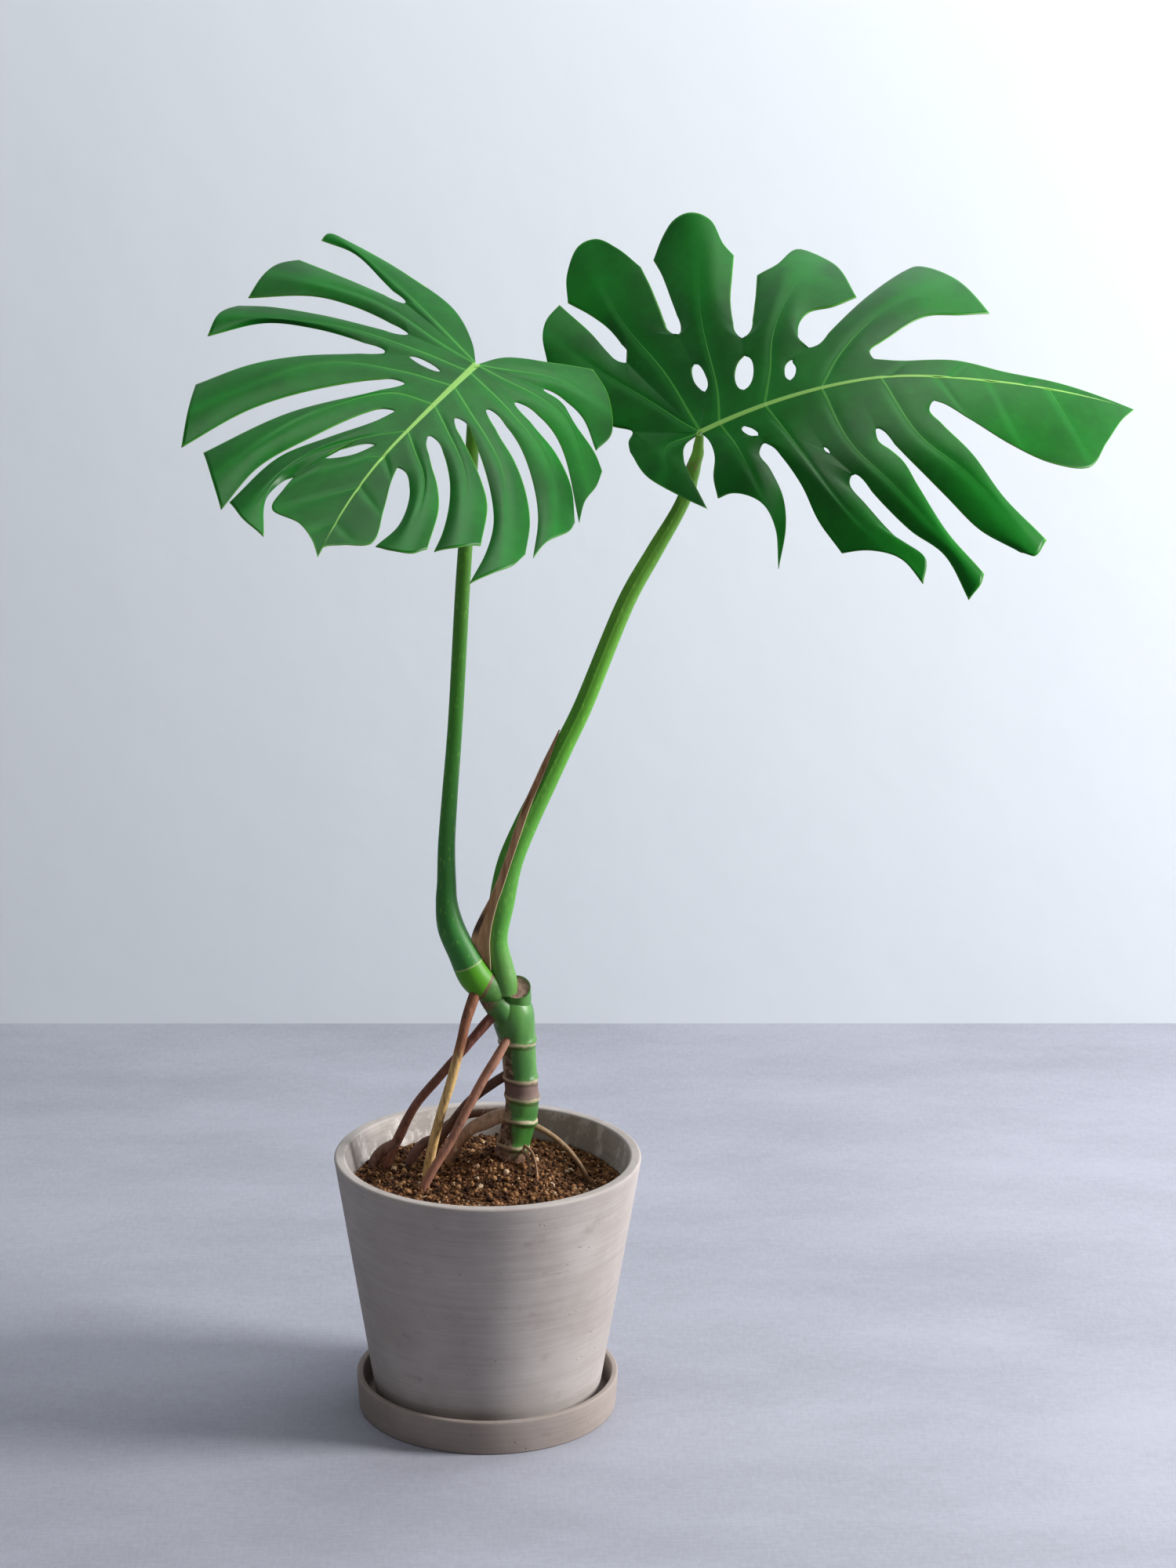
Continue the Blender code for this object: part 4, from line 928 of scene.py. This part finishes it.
rightLobes = [
    lobe(1, (0, 0), [(0, 0), (-14, -6), (-17, -24), (-13, -46), (-1, -91)], [(-22, -69), (-52, -28)],
         [(-60, 36), (-65, 28), (-64, 12)], [(-30, 0), (-34, -30)], 3),
    lobe(1, (0, 0), [(-60, 36), (-76, 50), (-102, 86), (-133, 153)], [(-136, 184), (-131, 206)],
         [(-59, 128), (-70, 139), (-91, 182), (-117, 226)], [(-39, 62), (-83, 122)]),
    lobe(1, (0, 0), [(-59, 128), (-59, 141), (-71, 174), (-90, 204), (-109, 226)],
         [(-108, 258), (-94, 290), (-78, 292), (-58, 272)],
         [(-9, 135), (-18, 150), (-24, 180), (-30, 211), (-37, 240)], [(-25, 92), (-65, 192)]),
    lobe(1, (0, 1), [(-9, 135), (-8, 150), (-13, 185), (-19, 220), (-25, 242)],
         [(-14, 264), (-3, 276), (13, 276), (31, 262), (41, 229)],
         [(47, 96), (42, 111), (41, 149), (46, 186), (50, 213)], [(19, 44), (12, 148)]),
    lobe(1, (1, 2), [(47, 96), (55, 106), (63, 141), (69, 181)], [(89, 195), (117, 231), (144, 205)],
         [(105, 58), (98, 72), (100, 95), (112, 112), (134, 116), (158, 130)], [(67, 39), (77, 96)]),
    lobe(1, (2, 3), [(105, 58), (114, 62), (135, 86), (171, 133), (209, 182)], [(226, 193), (254, 164)],
         [(162, 25), (161, 38), (181, 57), (219, 87), (251, 92), (281, 102)], [(133, 42), (182, 98)]),
    lobe(1, (3, 5), [(162, 25), (186, 19), (237, 18)], [(282, 9), (338, 10), (379, 11)], [(410, 13)], [], 0),
    lobe(-1, (4, 5), [(210, -33), (219, -37), (242, -55), (276, -78), (312, -90), (350, -84)],
         [(372, -49), (394, -10)], [(410, 13)], [], 0),
    lobe(-1, (3, 4), [(154, -59), (160, -66), (182, -98), (211, -134), (239, -163), (274, -179)],
         [(287, -183)], [(210, -33), (206, -44), (214, -60), (238, -91), (264, -132), (300, -165)],
         [(192, -73), (232, -115)]),
    lobe(-1, (2, 3), [(129, -103), (136, -111), (155, -138), (176, -162), (204, -184), (223, -220)],
         [(234, -211)], [(154, -59), (156, -72), (175, -97), (186, -122), (209, -165), (239, -199)],
         [(129, -70), (164, -122)]),
    lobe(-1, (1, 2), [(54, -45), (62, -55), (82, -99), (95, -139), (113, -171)], [(138, -176), (165, -187)],
         [(129, -103), (127, -114), (138, -133), (161, -164), (187, -186), (183, -206)],
         [(88, -74), (116, -132)]),
    lobe(-1, (0, 1), [(0, 0), (7, -17), (10, -38), (7, -61), (9, -85)], [(21, -87), (46, -110), (57, -141)],
         [(54, -45), (51, -57), (58, -78), (66, -108), (66, -137), (57, -171)], [(26, -25), (38, -69)]),
]


# the way seams bend round holes, by the bottom of the slit that each leads to: points on the way, and the
# hole's place, half length and half width
leftSeams = {
    (34, -79): dict(way=[(29, -21), (27.8, -38.6), (26.6, -56)], hole=(27.8, -38.6, 17.3, 4.2)),
    (226, -52): dict(way=[(152, -15.5), (170, -28.3), (188, -41)], hole=(170.2, -28.3, 22.4, 5.6)),
}
rightSeams = {
    (-9, 135): dict(way=[(8.4, 48), (4.9, 68), (1.4, 88)], hole=(4.9, 68, 20.2, 5.2)),
    (47, 96): dict(way=[(42.7, 29), (44.6, 50.1), (46.5, 71)], hole=(44.6, 50.1, 21.2, 8.6)),
    (105, 58): dict(way=[(84.2, 21.5), (85.4, 33.5), (86.6, 45.5)], hole=(85.4, 33.5, 12.0, 5.2)),
    (54, -45): dict(way=[(36, -14), (42.7, -25.5), (50.5, -36)], hole=(42.7, -25.5, 10.8, 3.4)),
    (129, -103): dict(way=[(95, -40), (108, -72.2)], hole=(108, -72.2, 4.4, 1.4)),
}

leafShape = dict(
    seamRows=46, freeRows=54, cellsAcross=34, tipColumns=110, tipRows=46, thick=0.0012,
    slitRound=9.0, slitReach=24.0, fold=0.9, foldWide=5.0,
    deep=(0.0004, 0.066, 0.003), mid=(0.0012, 0.122, 0.005), lit=(0.005, 0.180, 0.014),
    vein=(0.055, 0.270, 0.030),
    rib=(0.210, 0.430, 0.090), under=(0.060, 0.300, 0.008), rim=(0.090, 0.330, 0.030),
)
leftLeaf = dict(
    name="left_blade", node="left_leaf", lobes=leftLobes, seams=leftSeams,
    stations=[0, 26, 54, 93, 144, 296], length=296, ribWidth=(3.6, 0.7), tipVeins=(0.10, 0.40, 0.72),
    midrib=lambda s: 21 * np.clip((s - 130) / 166, 0, 1) ** 2,
    height=lambda x, y: -np.where(y > 0, 2.1 - 1.3 * eased(x, 0.02, 0.25), 0.35) * y * y - 0.25 * x * x,
    origin=(-0.0123, 0.030, 1.031), along=(-0.522, -0.766, -0.376), normal=(0.079, -0.482, 0.873),
)


# an arch along the midrib, the blade falling away on both sides, less so near the stalk
def rightHeight(x, y):
    arch = 0.637 * x + np.where(x > 0, -1.584, 1.6) * x * x
    farSide = -0.2 + 1.4 * eased(x, 0.0, 0.18)
    nearSide = 1.45 * (0.35 + 0.65 * eased(x, -0.1, 0.1))
    return arch - np.where(y < 0, nearSide, farSide) * y * y


rightLeaf = dict(
    name="right_blade", node="right_leaf", lobes=rightLobes, seams=rightSeams,
    stations=[0, 35, 82, 138, 190, 410], length=410, ribWidth=(3.2, 0.8), tipVeins=(0.12, 0.34, 0.60),
    midrib=lambda s: 19 * np.clip((s - 250) / 160, 0, 1) ** 2 - 6 * eased(s, 150, 260),
    height=rightHeight,
    origin=(0.1961, 0.0, 0.9735), along=(0.999, 0.034, 0.037), normal=(-0.011, -0.574, 0.819),
)


# a seam from the midrib to a slit's bottom, pushed inwards by half an ellipse where a hole lies on it
def seamLine(leaf, root, bottom, count, inward):
    bend = leaf["seams"].get(tuple(int(v) for v in bottom))
    line = curveThrough([root, *(bend["way"] if bend else ()), bottom], np.linspace(0, 1, count))
    if bend:
        x, y, half, wide = bend["hole"]
        away = line - (x, y)
        pace = np.gradient(line, axis=0)
        pace /= np.linalg.norm(pace, axis=1)[:, None]
        offset = (away * pace).sum(1) / half
        normal = np.stack([-pace[:, 1], pace[:, 0]], 1)
        normal *= np.sign(normal @ np.asarray(inward, float))[:, None]
        line = line + normal * (wide * np.sqrt(np.clip(1 - offset**2, 0, 1)))[:, None]
    return line


# a lobe's grid on the plane, rows from the midrib outwards, with each point's distance from the nearest vein
# (millimetres), its share of the way out and its distance from the free edge
def lobeGrid(cfg, leaf, spec):
    first, last = spec["seams"]
    stations = leaf["stations"]
    onRib = lambda s: np.stack([s, leaf["midrib"](np.asarray(s, float))], axis=1)
    joined, free = cfg["seamRows"], cfg["freeRows"]
    if len(spec["far"]) == 1:
        # half of the tip: rows step from the midrib to the margin that runs on to the apex
        cols, rows = cfg["tipColumns"], cfg["tipRows"]
        marks = np.linspace(stations[first], stations[last], cols + 1)
        start = onRib(marks)
        margin = curveThrough(spec["near"] + spec["end"] + spec["far"], np.linspace(0, 1, cols + 1))
        steps = np.linspace(0, 1, rows + 1)[:, None, None]
        grid = start + steps * (margin - start)
        inward = margin[cols // 3] - margin[0]
        edge = seamLine(leaf, start[0], spec["near"][0], rows + 1, inward)
        fade = np.clip(1 - np.linspace(0, 1, cols + 1) / 0.35, 0, 1) ** 1.5
        grid += (edge - grid[:, 0])[:, None] * fade[None, :, None]
        share = np.linspace(0, 1, cols + 1)
        pitch = np.linalg.norm(np.gradient(grid, axis=1), axis=2) * cols
        gap = np.min([np.abs(share - at)[None] * pitch for at in leaf["tipVeins"]], axis=0)
        run = np.broadcast_to(0.40 + 0.5 * np.linspace(0, 1, rows + 1)[:, None], gap.shape)
        edgeGap = np.linalg.norm(grid[-1] - grid, axis=2)
        return grid, gap, run, edgeGap, np.zeros(gap.shape)
    cols, rows = cfg["cellsAcross"], joined + free
    start = onRib(np.linspace(stations[first], stations[last], cols + 1))

    def sideLine(points, station, inward):
        points = np.asarray(points, float)
        if tuple(points[0]) == (0, 0):
            return curveThrough(points, np.linspace(0, 1, rows + 1)), 1 / 3, True
        root = onRib([stations[station]])[0]
        seam = seamLine(leaf, root, points[0], joined + 1, inward)
        out = curveThrough(points, np.linspace(0, 1, free + 1)[1:] ** 1.25)
        length = np.linalg.norm(np.diff(points, axis=0), axis=1).sum()
        joint = np.linalg.norm(points[0] - root)
        return np.concatenate([seam, out]), joint / (joint + length), False

    apart = np.array(spec["far"][:2], float) - np.array(spec["near"][:2], float)
    across = apart[0] if np.any(apart[0]) else apart[1]
    near, nearJoin, nearOpen = sideLine(spec["near"], first, across)
    far, farJoin, farOpen = sideLine(spec["far"], last, -across)
    # round the bottoms of the slits
    for line, other, opened in ((near, far, nearOpen), (far, near, farOpen)):
        if not opened:
            d = np.linalg.norm(line[joined + 1:] - line[joined], axis=1) / cfg["slitReach"]
            push = cfg["slitRound"] * (np.sqrt(np.clip(d, 0, 1)) - np.clip(d, 0, 1))
            way = other[joined + 1:] - line[joined + 1:]
            gap = np.linalg.norm(way, axis=1)[:, None]
            line[joined + 1:] += way / np.maximum(gap, 1e-6) * np.minimum(push[:, None], 0.25 * gap)
    meet = (nearJoin + farJoin) / 2
    pace = np.concatenate([np.linspace(0, meet, joined + 1), np.linspace(meet, 1, free + 1)[1:]])
    share = np.linspace(0, 1, cols + 1)[:, None]
    end = curveThrough([near[-1]] + spec["end"] + [far[-1]], share[:, 0])
    middle = curveThrough([start[cols // 2]] + spec["vein"] + [end[cols // 2]], pace)
    push = 1 - np.abs(2 * share - 1)
    grid = near[:, None] + (far - near)[:, None] * share + push * (middle - (near + far) / 2)[:, None]
    grid += (np.linspace(0, 1, rows + 1) ** 3)[:, None, None] * (end - grid[-1])
    grid[0] = start
    halves = np.linalg.norm(grid[:, -1] - grid[:, 0], axis=1)[:, None] / 2
    away = np.abs(2 * share[:, 0] - 1)[None]
    gap = away * halves
    run = np.broadcast_to(pace[:, None], gap.shape)
    freeShare = eased(np.arange(rows + 1), joined - 6, joined + 6)[:, None]
    inside = (1 - away) * halves + (1 - freeShare) * 60
    edgeGap = np.minimum(inside, np.linalg.norm(grid[-1] - grid, axis=2))
    crown = spec["swell"] * (1 - away**2) * eased(pace, 0.05, 0.7)[:, None]
    return grid, gap, run, edgeGap, crown


def leafLook(cfg, leaf, name, topSide):
    paint = Paint(name)
    gap, run = paint.along("veinGap"), paint.along("veinRun")
    ribGap, ribRun, edge = paint.along("ribGap"), paint.along("ribRun"), paint.along("edgeGap")
    cloud = paint.noise(9, 4, 0.6)
    fine = paint.noise(130, 4, 0.65)
    if topSide:
        body = paint.mix(cloud.step(0.30, 0.72), cfg["deep"], cfg["mid"])
        body = paint.mix((cloud * 0.6 + fine * 0.5).step(0.45, 0.85) * 0.35, body, cfg["lit"])
        body = paint.mix((1 - gap.step(0.0, 12.0)) * 0.30, body, cfg["lit"])
        veinPale, ribPale = cfg["vein"], cfg["rib"]
    else:
        body = paint.mix(cloud.step(0.3, 0.7), tuple(0.6 * c for c in cfg["under"]), cfg["under"])
        veinPale = ribPale = cfg["rim"]
    # fine side veins, faint, by a net of cells
    net = 1 - paint.cells(95, (1, 1, 1)).step(0.02, 0.10)
    body = paint.mix(net * (0.05 if topSide else 0.0), body, cfg["lit"])
    width = (1 - run.step(0.0, 0.62)) * 0.95 + 0.12
    vein = 1 - (gap / width).step(0.75, 1.35)
    vein = vein * (1 - run.step(0.45, 0.86))
    body = paint.mix(vein * 0.75, body, veinPale)
    wide, thin = leaf["ribWidth"]
    ribWidth = (1 - ribRun) ** 2.0 * (wide - thin) + thin
    rib = (1 - (ribGap / ribWidth).step(0.80, 1.20)) * (1 - ribRun.step(0.80, 0.98))
    body = paint.mix(rib, body, paint.mix(fine * 0.5, ribPale, tuple(1.25 * c for c in ribPale)))
    body = paint.mix((1 - edge.step(0.3, 1.0)) * 0.75, body, cfg["rim"])
    height = rib * 0.9 + vein * 0.6 + fine * 0.16 + net * 0.04
    rough = 0.34 + cloud * 0.10 if topSide else 0.55 + cloud * 0.10
    return paint.finish(body, rough, paint.bump(height, 0.0006, 0.5), Specular_IOR_Level=0.17)


def plainRim(cfg, name):
    paint = Paint(name)
    tone = paint.noise(60, 2)
    return paint.finish(paint.mix(tone, cfg["rim"], tuple(0.6 * c for c in cfg["rim"])), 0.5)


# the blade is all its lobes' grids, laid over the curved plane, welded along the seams and thickened
# downwards: place = origin + x * along + y * across + height(x, y) * normal
def makeBlade(cfg, leaf):
    ex = np.array(leaf["along"]) / np.linalg.norm(leaf["along"])
    ez = np.array(leaf["normal"])
    ez = ez - ez @ ex * ex
    ez /= np.linalg.norm(ez)
    ey = np.cross(ez, ex)
    points, faces, count = [], [], 0
    marks = dict(veinGap=[], veinRun=[], ribGap=[], ribRun=[], edgeGap=[])
    for spec in leaf["lobes"]:
        grid, gap, run, edgeGap, crown = lobeGrid(cfg, leaf, spec)
        rows, cols = grid.shape[:2]
        x, y = grid[..., 0], grid[..., 1]
        ribGap = np.where(x < 0, np.hypot(x, y), np.abs(y - leaf["midrib"](x)))
        z = leaf["height"](x / 1000, y / 1000) + crown / 1000
        crease = np.exp(-((gap / cfg["foldWide"]) ** 2)) * eased(run, 0.0, 0.15) * (1 - eased(run, 0.6, 0.95))
        z -= cfg["fold"] / 1000 * crease
        # slight ripples of the blade between the veins
        z += 0.0016 * (waves(np.stack([x, y], -1) / 1000, 38, 71, 7) - 0.5) * eased(ribGap, 4, 40)
        place = np.array(leaf["origin"]) + (x / 1000)[..., None] * ex
        place = place + (y / 1000)[..., None] * ey + z[..., None] * ez
        points.append(place.reshape(-1, 3))
        faces.append(gridQuads(rows, cols, flip=spec["side"] < 0) + count)
        count += rows * cols
        ribRun = np.clip(x / leaf["length"], 0, 1)
        for label, values in zip(marks, (gap, run, ribGap, ribRun, edgeGap)):
            marks[label].append(np.ravel(values))
    marks = {label: np.concatenate(values) for label, values in marks.items()}
    name = leaf["name"]
    looks = [leafLook(cfg, leaf, name + "_top", True), leafLook(cfg, leaf, name + "_underside", False)]
    looks.append(plainRim(cfg, name + "_rim"))
    points, faces = np.concatenate(points), np.concatenate(faces)
    piece = newPiece(name, points, faces, looks, [leaf["node"]], marks)
    shape = bmesh.new()
    shape.from_mesh(piece.data)
    bmesh.ops.remove_doubles(shape, verts=shape.verts, dist=4e-5)
    bmesh.ops.dissolve_degenerate(shape, edges=shape.edges, dist=1e-6)
    shape.to_mesh(piece.data)
    shape.free()
    sheet = piece.modifiers.new("thickness", "SOLIDIFY")
    sheet.thickness = cfg["thick"]
    sheet.offset = -1
    sheet.material_offset = 1
    sheet.material_offset_rim = 2
    return piece


makeBlade(leafShape, leftLeaf)
makeBlade(leafShape, rightLeaf)
print("leaves unfolded")
